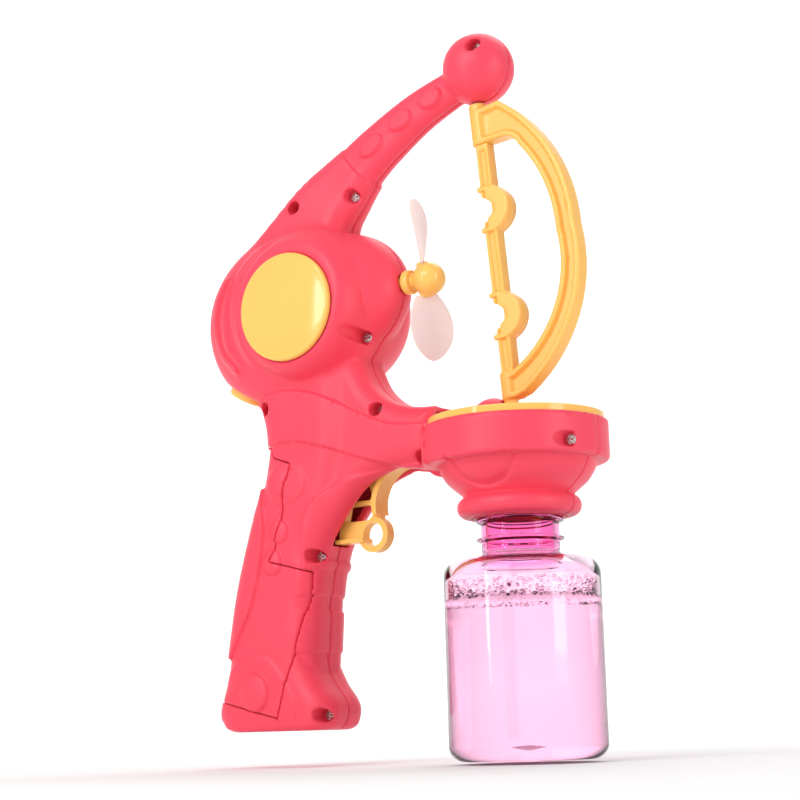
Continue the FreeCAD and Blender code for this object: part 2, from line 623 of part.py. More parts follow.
def spur(teeth, module, width, centre, axis, spin=0.0, thin=0.84):
    """Spur gear with straight-flanked teeth; spin turns one tooth away from the reference side."""
    pitch_r = teeth * module / 2
    root_r = pitch_r - 1.15 * module
    tip_r = pitch_r + 0.9 * module
    half_pitch = math.pi / teeth / 2 * thin
    flare = math.atan(math.tan(math.radians(20)) * 1.15 * module / root_r)
    close = math.atan(math.tan(math.radians(20)) * 0.9 * module / tip_r)
    points = []
    for tooth in range(teeth):
        middle = 2 * math.pi * tooth / teeth + math.radians(spin)
        for radius, angle in ((root_r, -half_pitch - flare), (tip_r, -half_pitch + close),
                              (tip_r, half_pitch - close), (root_r, half_pitch + flare)):
            points.append(V(radius * math.cos(middle + angle), radius * math.sin(middle + angle), 0))
    points.append(points[0])
    gear = Part.Face(Part.makePolygon(points)).extrude(V(0, 0, width))
    if abs(axis.x) > 0.5:
        gear.rotate(V(0, 0, 0), Y_AXIS, 90)
    gear.translate(centre)
    return gear


def bow_pinion():
    """Pinion under the bow's foot, with the stem that carries it."""
    width = 4.0
    gear = spur(DRIVE_TEETH, DRIVE_MODULE, width, V(0, 0, DRIVE_W - width / 2), Z_AXIS, -90)
    stem = rod(V(0, 0, DRIVE_W), Z_AXIS, STEM_R, 3.9 - DRIVE_W)
    return bow_place(gear.fuse(stem))


def pivot_bush():
    bush = pipe(V(0, 0, -7.6), Z_AXIS, 3.15, STEM_R + RUN_GAP, 2.4)
    return bow_place(bush)


def rack_bar():
    """Toothed bar that slides through the neck; its slot takes the trigger's pin."""
    pitch = math.pi * DRIVE_MODULE
    back = -5.6
    root = -DRIVE_R - 1.15 * DRIVE_MODULE
    tip = -DRIVE_R + 0.9 * DRIVE_MODULE
    flank = math.tan(math.radians(20))
    half_root = pitch / 4 * 0.84 + flank * 1.15 * DRIVE_MODULE
    half_tip = pitch / 4 * 0.84 - flank * 0.9 * DRIVE_MODULE
    pin_u = (PIN_AT - DRIVE_AT).dot(RACK_AXIS)
    pin_w = (PIN_AT - DRIVE_AT).dot(BOW_AXIS)
    bar = block((pin_u - 3.4, 3.6), (back, root), (-1.5, 1.5))
    for number in range(-1, 3):
        middle = (number - 0.5) * pitch
        tooth = Part.Face(Part.makePolygon([V(middle - half_root, root - 0.2, -1.5),
                                            V(middle + half_root, root - 0.2, -1.5),
                                            V(middle + half_tip, tip, -1.5),
                                            V(middle - half_tip, tip, -1.5),
                                            V(middle - half_root, root - 0.2, -1.5)])).extrude(V(0, 0, 3))
        bar = bar.fuse(tooth)
    eye = block((pin_u - 3.4, pin_u + 3.4), (back, root), (pin_w - 2.4, pin_w + 2.4))
    slot = block((pin_u - 1.06, pin_u + 1.06), (back - 1, root + 1), (pin_w - 1.6, pin_w + 1.6))
    bar = biggest(bar.fuse(eye).cut(slot))
    return tilted(bar, -BOW_LEAN, DRIVE_AT)


def upper_pivot():
    """Steel pin held in the ball, on which the bow's top sleeve turns."""
    return bow_place(rod(V(0, 0, 96.0), Z_AXIS, PIVOT_R, 17.0))


# ---- trigger ------------------------------------------------------------------------------
def trigger():
    web = prism([(-45.2, 114.0), (-40.2, 114.0), (-37.8, 100.2), (-44.0, 99.6),
                 ((-52.4, 94.6), (-54.6, 84.0)),
                 (-56.0, 75.0), (-72.6, 75.0), (-71.0, 86.0), ((-67.0, 94.0), (-60.0, 101.0))], TRIGGER_WEB)
    web = web.fuse(rod(TRIGGER_PIVOT - Y_AXIS * 3.1, Y_AXIS, 2.4, 6.2))
    finger = prism([(-37.8, 100.2), (-44.0, 99.6), ((-52.4, 94.6), (-54.6, 84.0)), (-56.4, 84.2),
                    ((-54.0, 95.8), (-44.4, 101.4)), (-37.8, 102.0)], TRIGGER_FLANGE)
    sole = prism([(-73.0, 75.0), (-60.0, 75.0), (-60.0, 76.4), (-73.0, 76.4)], 3.0)
    ring = rod(V(RING_AT[0], -2.0, RING_AT[1]), Y_AXIS, RING_R_OUT, 4.0)
    windows = [prism([(-67.5, 89.4), (-58.6, 89.4), ((-58.6, 93.6), (-61.4, 95.6)), (-64.6, 95.6)], 5),
               prism([(-69.6, 82.4), (-59.8, 82.4), ((-57.6, 85.2), (-59.4, 87.9)), (-68.2, 87.9)], 5)]
    pin = rod(PIN_AT - Y_AXIS * 5.9, Y_AXIS, 1.0, 5.9)
    notch = block((-50, -30), (-9, -2.8), (99.6, 103.0))
    body = trim(join([web, finger, sole, ring]), windows + [notch]).fuse(pin)
    hole = rod(V(RING_AT[0], -5, RING_AT[1]), Y_AXIS, RING_R_IN, 10)
    bore = rod(TRIGGER_PIVOT - Y_AXIS * 6, Y_AXIS, PIVOT_R + RUN_GAP, 12)
    return trim(body, [hole, bore])


def trigger_pin():
    return rod(TRIGGER_PIVOT - Y_AXIS * 7.4, Y_AXIS, PIVOT_R, 14.8)


# ---- fan, motor and gears -----------------------------------------------------------------
def fan_hub():
    ball = Part.makeSphere(HUB_R, V(HUB_X, 0, SHAFT_Z))
    boss = rod(V(-45.0, 0, SHAFT_Z), X_AXIS, 2.6, 10)
    collar = rod(V(-40.6, 0, SHAFT_Z), X_AXIS, 3.3, 4)
    bore = rod(V(-46.0, 0, SHAFT_Z), X_AXIS, SHAFT_R, 12)
    return trim(join([ball, boss, collar]), [bore, blade_roots(0.03)])


def blade_roots(grow):
    roots = []
    for turn in (0, 180):
        root = block((-1.4 - grow, 1.4 + grow), (-0.9 - grow, 0.9 + grow), (2.6, 7.0))
        roots.append(place_blade(root, turn))
    return Part.makeCompound(roots)


def place_blade(shape, turn):
    moved = shape.copy()
    moved.rotate(V(0, 0, 0), Z_AXIS, BLADE_PITCH)
    moved.rotate(V(0, 0, 0), X_AXIS, turn + FAN_TURN)
    moved.translate(V(BLADE_X, 0, SHAFT_Z))
    return moved


def fan_blades():
    """Two soft blades, each a thin twisted paddle on a root that plugs into the hub."""
    blades = []
    for turn in (0, 180):
        outline = [V(-2.2, 0, 6.4), V(-5.6, 0, 12.0), V(-BLADE_HALF_CHORD, 0, 19.5), V(-6.4, 0, 27.0),
                   V(0, 0, FAN_R), V(6.4, 0, 27.0), V(BLADE_HALF_CHORD, 0, 19.5), V(5.6, 0, 12.0),
                   V(2.2, 0, 6.4)]
        curve = Part.BSplineCurve()
        curve.interpolate(outline)
        rim = Part.Wire([curve.toShape(), Part.makeLine(outline[-1], outline[0])])
        paddle = Part.Face(rim).extrude(V(0, BLADE_THICK, 0))
        paddle.translate(V(0, -BLADE_THICK / 2, 0))
        root = block((-1.4, 1.4), (-0.9, 0.9), (2.6, 8.4))
        blades.append(place_blade(paddle.fuse(root), turn))
    return Part.makeCompound(blades)


def drive_shaft():
    return rod(V(MOTOR_REAR - 5.2, 0, SHAFT_Z), X_AXIS, SHAFT_R, -34.2 - MOTOR_REAR + 5.2)


def shaft_bush():
    return pipe(V(-49.6, 0, SHAFT_Z), X_AXIS, 3.15, SHAFT_R + RUN_GAP, 3.6)


def motor():
    can = rod(V(MOTOR_REAR, 0, SHAFT_Z), X_AXIS, MOTOR_R, MOTOR_FRONT - MOTOR_REAR)
    slab = block((MOTOR_REAR - 1, MOTOR_FRONT + 1), (-12, 12),
                 (SHAFT_Z - MOTOR_HALF_FLAT, SHAFT_Z + MOTOR_HALF_FLAT))
    body = can.common(slab)
    ends = [rod(V(MOTOR_REAR - 1.4, 0, SHAFT_Z), X_AXIS, 3.0, 1.4),
            rod(V(MOTOR_FRONT, 0, SHAFT_Z), X_AXIS, 3.0, 1.4)]
    tabs = [block((MOTOR_REAR - 3.0, MOTOR_REAR), (side * 6.5 - 1.2, side * 6.5 + 1.2),
                  (SHAFT_Z - 0.3, SHAFT_Z + 0.3))
            for side in (-1, 1)]
    bore = rod(V(MOTOR_REAR - 5, 0, SHAFT_Z), X_AXIS, SHAFT_R + RUN_GAP, 40)
    return join([body] + ends + tabs).cut(bore)


def motor_bracket():
    """Strap round the motor with a lug to each half of the casing."""
    strap = block((-78.0, -70.0), (-11.4, 11.4), (SHAFT_Z - MOTOR_HALF_FLAT - 1.5,
                                                  SHAFT_Z + MOTOR_HALF_FLAT + 1.5))
    room = rod(V(-90, 0, SHAFT_Z), X_AXIS, MOTOR_R + 0.02, 30).common(
        block((-90, -60), (-12, 12), (SHAFT_Z - MOTOR_HALF_FLAT - 0.02, SHAFT_Z + MOTOR_HALF_FLAT + 0.02)))
    lugs = [block((-77.0, -71.0), (side * 16.6 - 5.35, side * 16.6 + 5.35),
                  (SHAFT_Z - 9.1, SHAFT_Z - 7.1)) for side in (-1, 1)]
    return join([strap] + lugs).cut(room)


GEAR_APART = GEAR_MODULE * (SMALL_TEETH + LARGE_TEETH) / 2


def motor_pinion():
    gear = spur(SMALL_TEETH, GEAR_MODULE, FACE, V(FIRST_STAGE_X, 0, SHAFT_Z), X_AXIS, 90)
    return gear.cut(rod(V(-96, 0, SHAFT_Z), X_AXIS, SHAFT_R, 12))


def reduction_gear():
    """Large and small gear in one piece on the layshaft beside the motor's axis."""
    at = V(FIRST_STAGE_X, GEAR_APART, SHAFT_Z)
    large = spur(LARGE_TEETH, GEAR_MODULE, FACE, at, X_AXIS, 180 / LARGE_TEETH - 90)
    small = spur(SMALL_TEETH, GEAR_MODULE, FIRST_STAGE_X - SECOND_STAGE_X,
                 V(SECOND_STAGE_X, GEAR_APART, SHAFT_Z), X_AXIS, -90)
    return large.fuse(small).cut(rod(V(-100, GEAR_APART, SHAFT_Z), X_AXIS, 1.0 + RUN_GAP, 20))


def layshaft():
    return rod(V(PUMP_FRONT - 0.2, GEAR_APART, SHAFT_Z), X_AXIS, 1.0, 8.6)


def pump_gear():
    """Last gear of the train with the shaft that turns the pump's rotor."""
    gear = spur(LARGE_TEETH, GEAR_MODULE, FACE, V(SECOND_STAGE_X, 0, SHAFT_Z), X_AXIS,
                180 / LARGE_TEETH + 90)
    return gear.fuse(rod(V(PUMP_REAR + 0.5, 0, SHAFT_Z), X_AXIS, 1.2, SECOND_STAGE_X - PUMP_REAR - 0.5))


def pump_rotor():
    """Two plates on the pump's shaft that carry the rollers."""
    plates = [rod(V(x, 0, SHAFT_Z), X_AXIS, 4.4, 1.0) for x in (-105.0, -99.2)]
    hub = rod(V(-105.0, 0, SHAFT_Z), X_AXIS, 1.55, 6.8)
    return join(plates + [hub]).cut(rod(V(-110, 0, SHAFT_Z), X_AXIS, 1.2, 20))


def pump_rollers():
    rollers = []
    for turn in (30, 150, 270):
        y = ROLLER_ARM * math.cos(math.radians(turn))
        z = ROLLER_ARM * math.sin(math.radians(turn))
        rollers.append(rod(V(-103.9, y, SHAFT_Z + z), X_AXIS, ROLLER_R, 4.6))
    return Part.makeCompound(rollers)


def pump_body():
    """Cup that backs the squeezed tube, with a plate that holds the layshaft."""
    cup = rod(V(PUMP_REAR, 0, SHAFT_Z), X_AXIS, 9.4, PUMP_FRONT - PUMP_REAR)
    room = rod(V(-106.0, 0, SHAFT_Z), X_AXIS, PUMP_LOOP_R + TUBE_R + 0.05, -97.4 + 106.0)
    plate = block((-97.4, PUMP_FRONT), (-4.0, GEAR_APART + 3.0), (SHAFT_Z - 5, SHAFT_Z + 5))
    ports = [block((PUMP_TUBE_X - 1.7, PUMP_TUBE_X + 1.7), (0, 12),
                   (SHAFT_Z + side * PUMP_LOOP_R - 1.7, SHAFT_Z + side * PUMP_LOOP_R + 1.7))
             for side in (-1, 1)]
    holes = [rod(V(-110, 0, SHAFT_Z), X_AXIS, 1.2 + RUN_GAP, 20),
             rod(V(-99, GEAR_APART, SHAFT_Z), X_AXIS, 1.0, 5)]
    return trim(cup.cut(room).fuse(plate), ports + holes)


def tube_along(points, radius):
    """Round tube along straight runs joined by tangent arcs. Each inner point is (x, y, z, bend radius)."""
    centres = [V(*point[:3]) for point in points]
    edges = []
    here = centres[0]
    for number in range(1, len(points) - 1):
        corner = centres[number]
        before = (centres[number - 1] - corner).normalize()
        after = (centres[number + 1] - corner).normalize()
        half = math.acos(max(-1, min(1, before.dot(after)))) / 2
        bend = points[number][3]
        reach = bend / math.tan(half)
        start = corner + before * reach
        end = corner + after * reach
        inward = (before + after).normalize()
        middle = corner + inward * (bend / math.sin(half) - bend)
        edges.append(Part.makeLine(here, start))
        edges.append(Part.Arc(start, middle, end).toShape())
        here = end
    edges.append(Part.makeLine(here, centres[-1]))
    path = Part.Wire(edges)
    direction = (centres[1] - centres[0]).normalize()
    ring = Part.Wire(Part.makeCircle(radius, centres[0], direction))
    return path.makePipeShell([ring], True, False), path


def hollow_tube(route):
    outer, path = tube_along(route, TUBE_R)
    inner, path = tube_along(route, TUBE_BORE_R)
    print("tube length %.0f, radii %s" % (path.Length, [point[3] for point in route if len(point) > 3]))
    return outer.cut(inner)


def pump_tube():
    """The loop that the rollers squeeze, open to +y."""
    reach = PORT_Y - 0.02
    top = SHAFT_Z + PUMP_LOOP_R
    low = SHAFT_Z - PUMP_LOOP_R
    path = Part.Wire([Part.makeLine(V(PUMP_TUBE_X, reach, low), V(PUMP_TUBE_X, 0, low)),
                      Part.Arc(V(PUMP_TUBE_X, 0, low), V(PUMP_TUBE_X, -PUMP_LOOP_R, SHAFT_Z),
                               V(PUMP_TUBE_X, 0, top)).toShape(),
                      Part.makeLine(V(PUMP_TUBE_X, 0, top), V(PUMP_TUBE_X, reach, top))])
    ring = [Part.Wire(Part.makeCircle(r, V(PUMP_TUBE_X, reach, low), Y_AXIS)) for r in (TUBE_R, TUBE_BORE_R)]
    solids = [path.makePipeShell([wire], True, False) for wire in ring]
    return solids[0].cut(solids[1])


# ---- grip contents ------------------------------------------------------------------------
def in_pack(shape):
    """From the battery pack's own upright frame to its place in the grip."""
    return tilted(shape, PACK_LEAN, PACK_AT)


def battery_box():
    half_l = 27.0
    outer = block((-14.6, 15.6), (-8.0, 8.0), (-half_l, half_l))
    room = block((-20, 14.6), (-7.2, 7.2), (-half_l + 1.2, half_l - 1.2))
    return biggest(in_pack(outer.cut(room)).common(grip_form(WALL + 0.25)))


def batteries():
    cells = []
    for number, sign in ((-0.5, 1), (0.5, -1)):
        x = number * CELL_SPACING
        body = rod(V(x, 0, -23.0), Z_AXIS, CELL_R, 46.0)
        nub = rod(V(x, 0, 23.0 if sign > 0 else -24.2), Z_AXIS, 2.7, 1.2)
        cells.append(body.fuse(nub))
    return in_pack(Part.makeCompound(cells))


def contact_plates():
    plates = [block((number * CELL_SPACING - 4.5, number * CELL_SPACING + 4.5), (-4.5, 4.5), (z, z + 0.4))
              for number in (-0.5, 0.5) for z in (25.35,)]
    bridge = block((-11.8, 11.8), (-4.5, 4.5), (-25.75, -25.35))
    return in_pack(Part.makeCompound(plates + [bridge]))


def coil(radius, wire, pitch, height, at):
    helix = Part.makeHelix(pitch, height, radius)
    ring = Part.Wire(Part.makeCircle(wire, V(radius, 0, 0), Y_AXIS))
    spring = Part.Wire(helix).makePipeShell([ring], True, True)
    spring.translate(at)
    return spring


def contact_springs():
    springs = [coil(3.4, 0.3, 0.9, 1.7, V(CELL_SPACING / 2, 0, 23.3)),
               coil(3.4, 0.3, 0.9, 1.7, V(-CELL_SPACING / 2, 0, -25.0))]
    return in_pack(Part.makeCompound(springs))


# ---- power button -------------------------------------------------------------------------
def in_button(shape):
    """From the button's own frame, pressed face towards +Z, to its place under the body."""
    return tilted(shape, BUTTON_TILT, BUTTON_AT)


def power_button():
    cap = lathe([(0, -3.4), (BUTTON_R, -3.4), (BUTTON_R, 3.2),
                 ((BUTTON_R - 0.5, 4.2), (BUTTON_R - 1.6, 4.5)),
                 ((3.2, 5.2), (0.4, 5.4)), (0, 5.4)])
    flange = rod(V(0, 0, -4.6), Z_AXIS, BUTTON_R + 1.0, 1.2)
    well = rod(V(0, 0, -5), Z_AXIS, 4.6, 4.0)
    stem = rod(V(0, 0, -6.6), Z_AXIS, 1.3, 6.6)
    return in_button(cap.fuse(flange).cut(well).fuse(stem))


def button_dome():
    """Soft rubber bell under the button that pushes it back out."""
    bell = lathe([(2.0, -8.4), (3.9, -8.4), (3.9, -7.9), ((3.7, -5.2), (2.6, -4.4)), (2.6, -3.0),
                  (1.9, -3.0),
                  (1.9, -4.6), ((3.0, -5.6), (3.2, -7.8)), (2.0, -7.8)])
    return in_button(bell)


def power_switch():
    body = block((-5, 5), (-4, 4), (-15.4, -8.8))
    plunger = rod(V(0, 0, -9.0), Z_AXIS, 1.2, 0.6)
    legs = [block((x - 0.3, x + 0.3), (-1, 1), (-18.4, -15.4)) for x in (-2.5, 2.5)]
    return in_button(join([body, plunger] + legs))


def main():
    os.makedirs("parts", exist_ok=True)
    left, right, door = casing_parts()
    pieces = {
        "left_shell": left, "right_shell": right, "battery_door": door,
        "shell_screws": shell_screws(), "left_side_cap": side_cap(1), "right_side_cap": side_cap(-1),
        "door_screw": pan_screw(door_screw_place(), DOOR_OFF * -1, 3.4),
        "drip_tray": drip_tray(), "bottle": bottle(), "bubble_liquid": bubble_liquid(),
        "bubble_foam": bubble_foam(),
        "bottle_socket": bottle_socket(), "bottle_seal": bottle_seal(),
        "bow_arc": bow_arc(), "bow_bar": bow_bar(), "bow_pinion": bow_pinion(), "pivot_bush": pivot_bush(),
        "upper_pivot": upper_pivot(), "rack_bar": rack_bar(), "trigger": trigger(),
        "trigger_pin": trigger_pin(),
        "fan_hub": fan_hub(), "fan_blades": fan_blades(), "drive_shaft": drive_shaft(),
        "shaft_bush": shaft_bush(),
        "motor": motor(), "motor_bracket": motor_bracket(), "motor_pinion": motor_pinion(),
        "reduction_gear": reduction_gear(), "layshaft": layshaft(), "pump_gear": pump_gear(),
        "pump_rotor": pump_rotor(), "pump_rollers": pump_rollers(), "pump_body": pump_body(),
        "suction_tube": hollow_tube(SUCTION_ROUTE), "pump_tube": pump_tube(),
        "delivery_tube": hollow_tube(DELIVERY_ROUTE),
        "battery_box": battery_box(), "batteries": batteries(), "contact_plates": contact_plates(),
        "contact_springs": contact_springs(), "power_button": power_button(), "button_dome": button_dome(),
        "power_switch": power_switch(),
    }
    for name, shape in pieces.items():
        export(name, shape)


if __name__ == "__main__":
    main()
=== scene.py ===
"""Looks of the bow-shaped bubble machine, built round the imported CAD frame. Forms are worked out in
millimetres, with the bottle's base at z = 0 and the casing split in the plane y = 0."""

import json
import math
import random

import bpy
import numpy as np
import openvdb
from mathutils import Matrix, Vector

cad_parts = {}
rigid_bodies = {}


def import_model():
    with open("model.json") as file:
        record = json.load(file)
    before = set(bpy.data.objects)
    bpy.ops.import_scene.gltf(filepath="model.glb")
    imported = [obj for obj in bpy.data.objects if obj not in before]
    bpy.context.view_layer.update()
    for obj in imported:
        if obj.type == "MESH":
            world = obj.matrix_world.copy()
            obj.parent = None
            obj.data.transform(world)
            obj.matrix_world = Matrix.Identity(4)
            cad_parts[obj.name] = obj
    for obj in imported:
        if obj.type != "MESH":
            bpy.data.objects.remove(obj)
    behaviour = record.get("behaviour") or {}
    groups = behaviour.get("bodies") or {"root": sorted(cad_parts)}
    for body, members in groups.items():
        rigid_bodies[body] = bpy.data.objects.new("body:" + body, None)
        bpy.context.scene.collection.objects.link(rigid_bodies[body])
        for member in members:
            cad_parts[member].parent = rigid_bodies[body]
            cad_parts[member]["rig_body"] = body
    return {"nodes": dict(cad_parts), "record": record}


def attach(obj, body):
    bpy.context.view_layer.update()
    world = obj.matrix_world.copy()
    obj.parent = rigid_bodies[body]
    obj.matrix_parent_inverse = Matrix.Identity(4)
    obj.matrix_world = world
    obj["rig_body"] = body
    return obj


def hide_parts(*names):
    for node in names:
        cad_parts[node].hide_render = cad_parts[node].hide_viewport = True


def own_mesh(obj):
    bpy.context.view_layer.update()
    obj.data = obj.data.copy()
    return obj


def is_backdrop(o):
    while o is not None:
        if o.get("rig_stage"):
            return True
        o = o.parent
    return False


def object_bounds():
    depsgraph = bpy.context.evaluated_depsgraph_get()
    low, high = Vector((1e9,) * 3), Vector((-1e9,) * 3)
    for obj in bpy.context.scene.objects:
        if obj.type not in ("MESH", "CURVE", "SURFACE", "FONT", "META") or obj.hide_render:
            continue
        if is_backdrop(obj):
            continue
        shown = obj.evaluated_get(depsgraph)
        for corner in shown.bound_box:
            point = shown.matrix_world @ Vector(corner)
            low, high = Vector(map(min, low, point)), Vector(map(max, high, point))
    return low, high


MM = 0.001
UP = Vector((0.0, 0.0, 1.0))
WALL = 2.0                      # thickness of the moulded casing
CASING_STEP = 0.6               # spacing of the samples that the casing is meshed from
CASING_ADAPT = 0.03             # how far flat stretches may be meshed coarser
FINE_STEP = 0.3                 # spacing of the samples for the small mouldings
SEAM_ROUND = 0.5                # rounding of an edge where two mouldings meet
SEAM_GAP = 0.12                 # half the gap between them

# casing: half thicknesses along y, and the rounding of the long edges
GRIP_HALF = 13.5
GRIP_CORNER = 9.0
GRIP_ENDS = (11.2, 134.0)       # z of the grip's foot and of its top, inside the body
NECK_HALF = 11.5
NECK_CORNER = 6.5
BODY_AT = (-92.2, 157.0)
BODY_R = 32.5
BODY_HALF = 17.5
BODY_CORNER = 15.4
POD_AT = (-77.9, 159.0)
POD_HALF = 22.6
POD_FLAT_R = 20.5               # flat face under a yellow disc
POD_SKIRT = 7.8                 # width of the rounded edge round that face
POD_FRONT = -51.4
NACELLE_Z = 163.0
NACELLE_SLIM = 1.31             # how much taller than wide the motor housing is
NACELLE_REAR = -84.0
NACELLE_DOME = -66.0            # x where the housing's domed front begins
NACELLE_LENGTH = 23.6
NACELLE_R = 22.6
BALL_AT = (-9.4, 0.0, 235.4)
BALL_R = 12.5
BASE_CUT = 10.8                 # lowest z of the casing
SLOT_HALF = 4.6                 # half width of the trigger's slot

# parts carried by the casing
CAP_AT = (-77.9, 157.4)         # centre of the yellow discs
CAP_R = 19.25
CAP_GAP = 0.15
CAP_SINK = 0.5                  # depth of the seat round a disc
SHAFT_Z = 164.5
SHAFT_HOLE_R = 3.2
HUB_X = -32.5
BUTTON_AT = (-110.9, 0.0, 135.4)
BUTTON_TILT = math.radians(209.4)
BUTTON_FLAT = 1.6               # from the button's origin to the flat of the body round it
BUTTON_HOLE_R = 7.95
CAD_BUTTON_AT = (-110.2, 0.0, 134.0)   # origin of the parts behind the button
DOME_FOOT = -8.4                # where the rubber bell begins, on the button's axis
BOW_FOOT = (-1.5, 0.0, 118.0)
BOW_LEAN = math.radians(4.87)
BOW_FOOT_HOLE_R = 3.2
BOW_PIN_HOLE_R = 1.45
BOW_SLEEVE_HOLE_R = 3.9
BLADE_X = -34.2
FAN_TURN = math.radians(10.0)
BLADE_PITCH = math.radians(-72.0)

# casing screws as x, z and depth of the head; they are driven from the user's right
SCREWS = [(-83.7, 197.5, 3.4), (-60.2, 198.2, 3.4), (-55.0, 145.8, 5.6), (-49.3, 119.2, 5.6),
    (-95.6, 124.4, 5.6), (-30.6, 100.5, 5.6), (-76.8, 70.8, 5.6), (-74.6, 16.3, 5.6), (-5.5, 240.6, 5.6),
    (26.6, 100.0, 11.3)]
BOSS_R = 3.6
SCREW_HOLE_R = 2.5
SCREW_HEAD_R = 1.9
SCREW_HEAD_RISE = 1.4
SHANK_R = 1.0
SHANK_END = 3.0                 # how far a screw reaches past the middle plane
THREAD_PITCH = 1.1
CROSS_HALF = (0.3, 1.5)         # half width and half length of the slots in a head
DOOR_SCREW_AT = (-112.6, 0.0, 61.5)
DOOR_SCREW_HOLE_R = 2.7
DOOR_ANGLE = math.radians(14.0)


# ---- distances ----
class Box:
    """A box of sample points with even spacing."""

    def __init__(self, low, high, step):
        self.low = low
        self.step = step
        axes = [np.arange(a, b + step, step, dtype=np.float32) for a, b in zip(low, high)]
        self.x = axes[0][:, None, None]
        self.y = axes[1][None, :, None]
        self.z = axes[2][None, None, :]


def union(a, b, soft=0.0):
    """Distance to both forms together, their inner corner filled over the soft width."""
    if soft == 0.0:
        return np.minimum(a, b)
    share = np.clip(0.5 + 0.5 * (b - a) / soft, 0.0, 1.0)
    return b + (a - b) * share - soft * share * (1.0 - share)


def overlap(a, b, soft=0.0):
    """Distance to what the two forms share, its edge rounded over the soft width."""
    return -union(-a, -b, soft)


def minus(a, b, soft=0.0):
    return -union(-a, b, soft)


def ramp(distance, soft):
    """1 inside an outline, 0 outside, eased across the soft width."""
    t = np.clip(0.5 - distance / soft, 0.0, 1.0)
    return t * t * (3.0 - 2.0 * t)


def rounded(across, depth, radius):
    """Distance to a form from two signed distances at right angles, its edge rounded."""
    a = across + radius
    b = depth + radius
    outside = np.sqrt(np.maximum(a, 0.0) ** 2 + np.maximum(b, 0.0) ** 2)
    return outside + np.minimum(np.maximum(a, b), 0.0) - radius


def ellipse(u, v, half_u, half_v):
    near = np.sqrt((u / half_u) ** 2 + (v / half_v) ** 2)
    far = np.sqrt((u / half_u ** 2) ** 2 + (v / half_v ** 2) ** 2)
    return near * (near - 1.0) / np.maximum(far, 1e-6)


def trace(items, count=8):
    """Points along an outline. An item is a point, or an arc as (middle point, end point)."""
    points = []
    for item in items:
        if not isinstance(item[0], tuple):
            points.append(item)
            continue
        a, b, c = Vector(points[-1]), Vector(item[0]), Vector(item[1])
        twice = 2.0 * ((a.x - c.x) * (b.y - c.y) - (b.x - c.x) * (a.y - c.y))
        aa = (a.x ** 2 - c.x ** 2) + (a.y ** 2 - c.y ** 2)
        bb = (b.x ** 2 - c.x ** 2) + (b.y ** 2 - c.y ** 2)
        centre = Vector(((aa * (b.y - c.y) - bb * (a.y - c.y)) / twice,
            (bb * (a.x - c.x) - aa * (b.x - c.x)) / twice))
        radius = (a - centre).length
        start, middle, end = [math.atan2(p.y - centre.y, p.x - centre.x) for p in (a, b, c)]
        sweep = (end - start) % (2.0 * math.pi)
        if (middle - start) % (2.0 * math.pi) > sweep:
            sweep -= 2.0 * math.pi
        for number in range(1, count + 1):
            angle = start + sweep * number / count
            points.append((centre.x + radius * math.cos(angle), centre.y + radius * math.sin(angle)))
    return points


def flowing(points, count=6):
    """Points on a smooth open curve that passes through the given ones."""
    last = len(points) - 1
    curve = []
    for number in range(last):
        here = [points[min(max(number + k, 0), last)] for k in (-1, 0, 1, 2)]
        p = [np.array(q, dtype=float) for q in here]
        for k in range(count):
            t = k / count
            value = 0.5 * (2 * p[1] + (p[2] - p[0]) * t + (2 * p[0] - 5 * p[1] + 4 * p[2] - p[3])
                * t ** 2 + (3 * p[1] - p[0] - 3 * p[2] + p[3]) * t ** 3)
            curve.append(tuple(value))
    curve.append(tuple(points[-1]))
    return curve


def to_segment(a, b, u, v):
    """How far along the segment its nearest point lies, from 0 to 1, and the squared distance."""
    du, dv = b[0] - a[0], b[1] - a[1]
    along = np.clip(((u - a[0]) * du + (v - a[1]) * dv) / max(du * du + dv * dv, 1e-9), 0.0, 1.0)
    return along, (u - a[0] - along * du) ** 2 + (v - a[1] - along * dv) ** 2


def line_distance(points, u, v):
    """Distance to an open line in a plane."""
    best = np.float32(1e9)
    for a, b in zip(points, points[1:]):
        best = np.minimum(best, to_segment(a, b, u, v)[1])
    return np.sqrt(best)


def outline_distance(points, u, v):
    """Signed distance to a closed outline in a plane, negative inside it."""
    ring = list(points) + [points[0]]
    inside = np.zeros(np.broadcast_shapes(np.shape(u), np.shape(v)), dtype=bool)
    for (au, av), (bu, bv) in zip(ring, ring[1:]):
        if av != bv:
            crossing = au + (v - av) * (bu - au) / (bv - av)
            inside ^= (v >= min(av, bv)) & (v < max(av, bv)) & (u < crossing)
    return line_distance(ring, u, v) * np.where(inside, -1.0, 1.0)


def turned(profile, radius, height, step=0.15):
    """Distance to a closed outline of (radius, height) turned about its axis."""
    reach = float(radius.max()) + step
    low, high = float(height.min()), float(height.max()) + step
    r = np.arange(0.0, reach + step, step)[:, None]
    h = np.arange(low, high + step, step)[None, :]
    table = outline_distance(profile, r, h)
    a = radius / step
    b = (height - low) / step
    i = np.minimum(a.astype(np.int32), table.shape[0] - 2)
    j = np.minimum(b.astype(np.int32), table.shape[1] - 2)
    fa = a - i
    fb = b - j
    lower = table[i, j] * (1 - fa) + table[i + 1, j] * fa
    upper = table[i, j + 1] * (1 - fa) + table[i + 1, j + 1] * fa
    return (lower * (1 - fb) + upper * fb).astype(np.float32)


def cylinder(box, start, direction, length, radius, soft=0.0):
    """Distance to a round bar; direction is a unit vector."""
    rel = [axis - s for axis, s in zip((box.x, box.y, box.z), start)]
    along = sum(r * d for r, d in zip(rel, direction))
    square = sum(r * r for r in rel) - along * along
    return rounded(np.sqrt(np.maximum(square, 0.0)) - radius, np.abs(along - length / 2) - length / 2, soft)


# ---- meshes ----
def link_new(name, data):
    """A new object in the scene that shows the data."""
    obj = bpy.data.objects.new(name, data)
    bpy.context.scene.collection.objects.link(obj)
    return obj


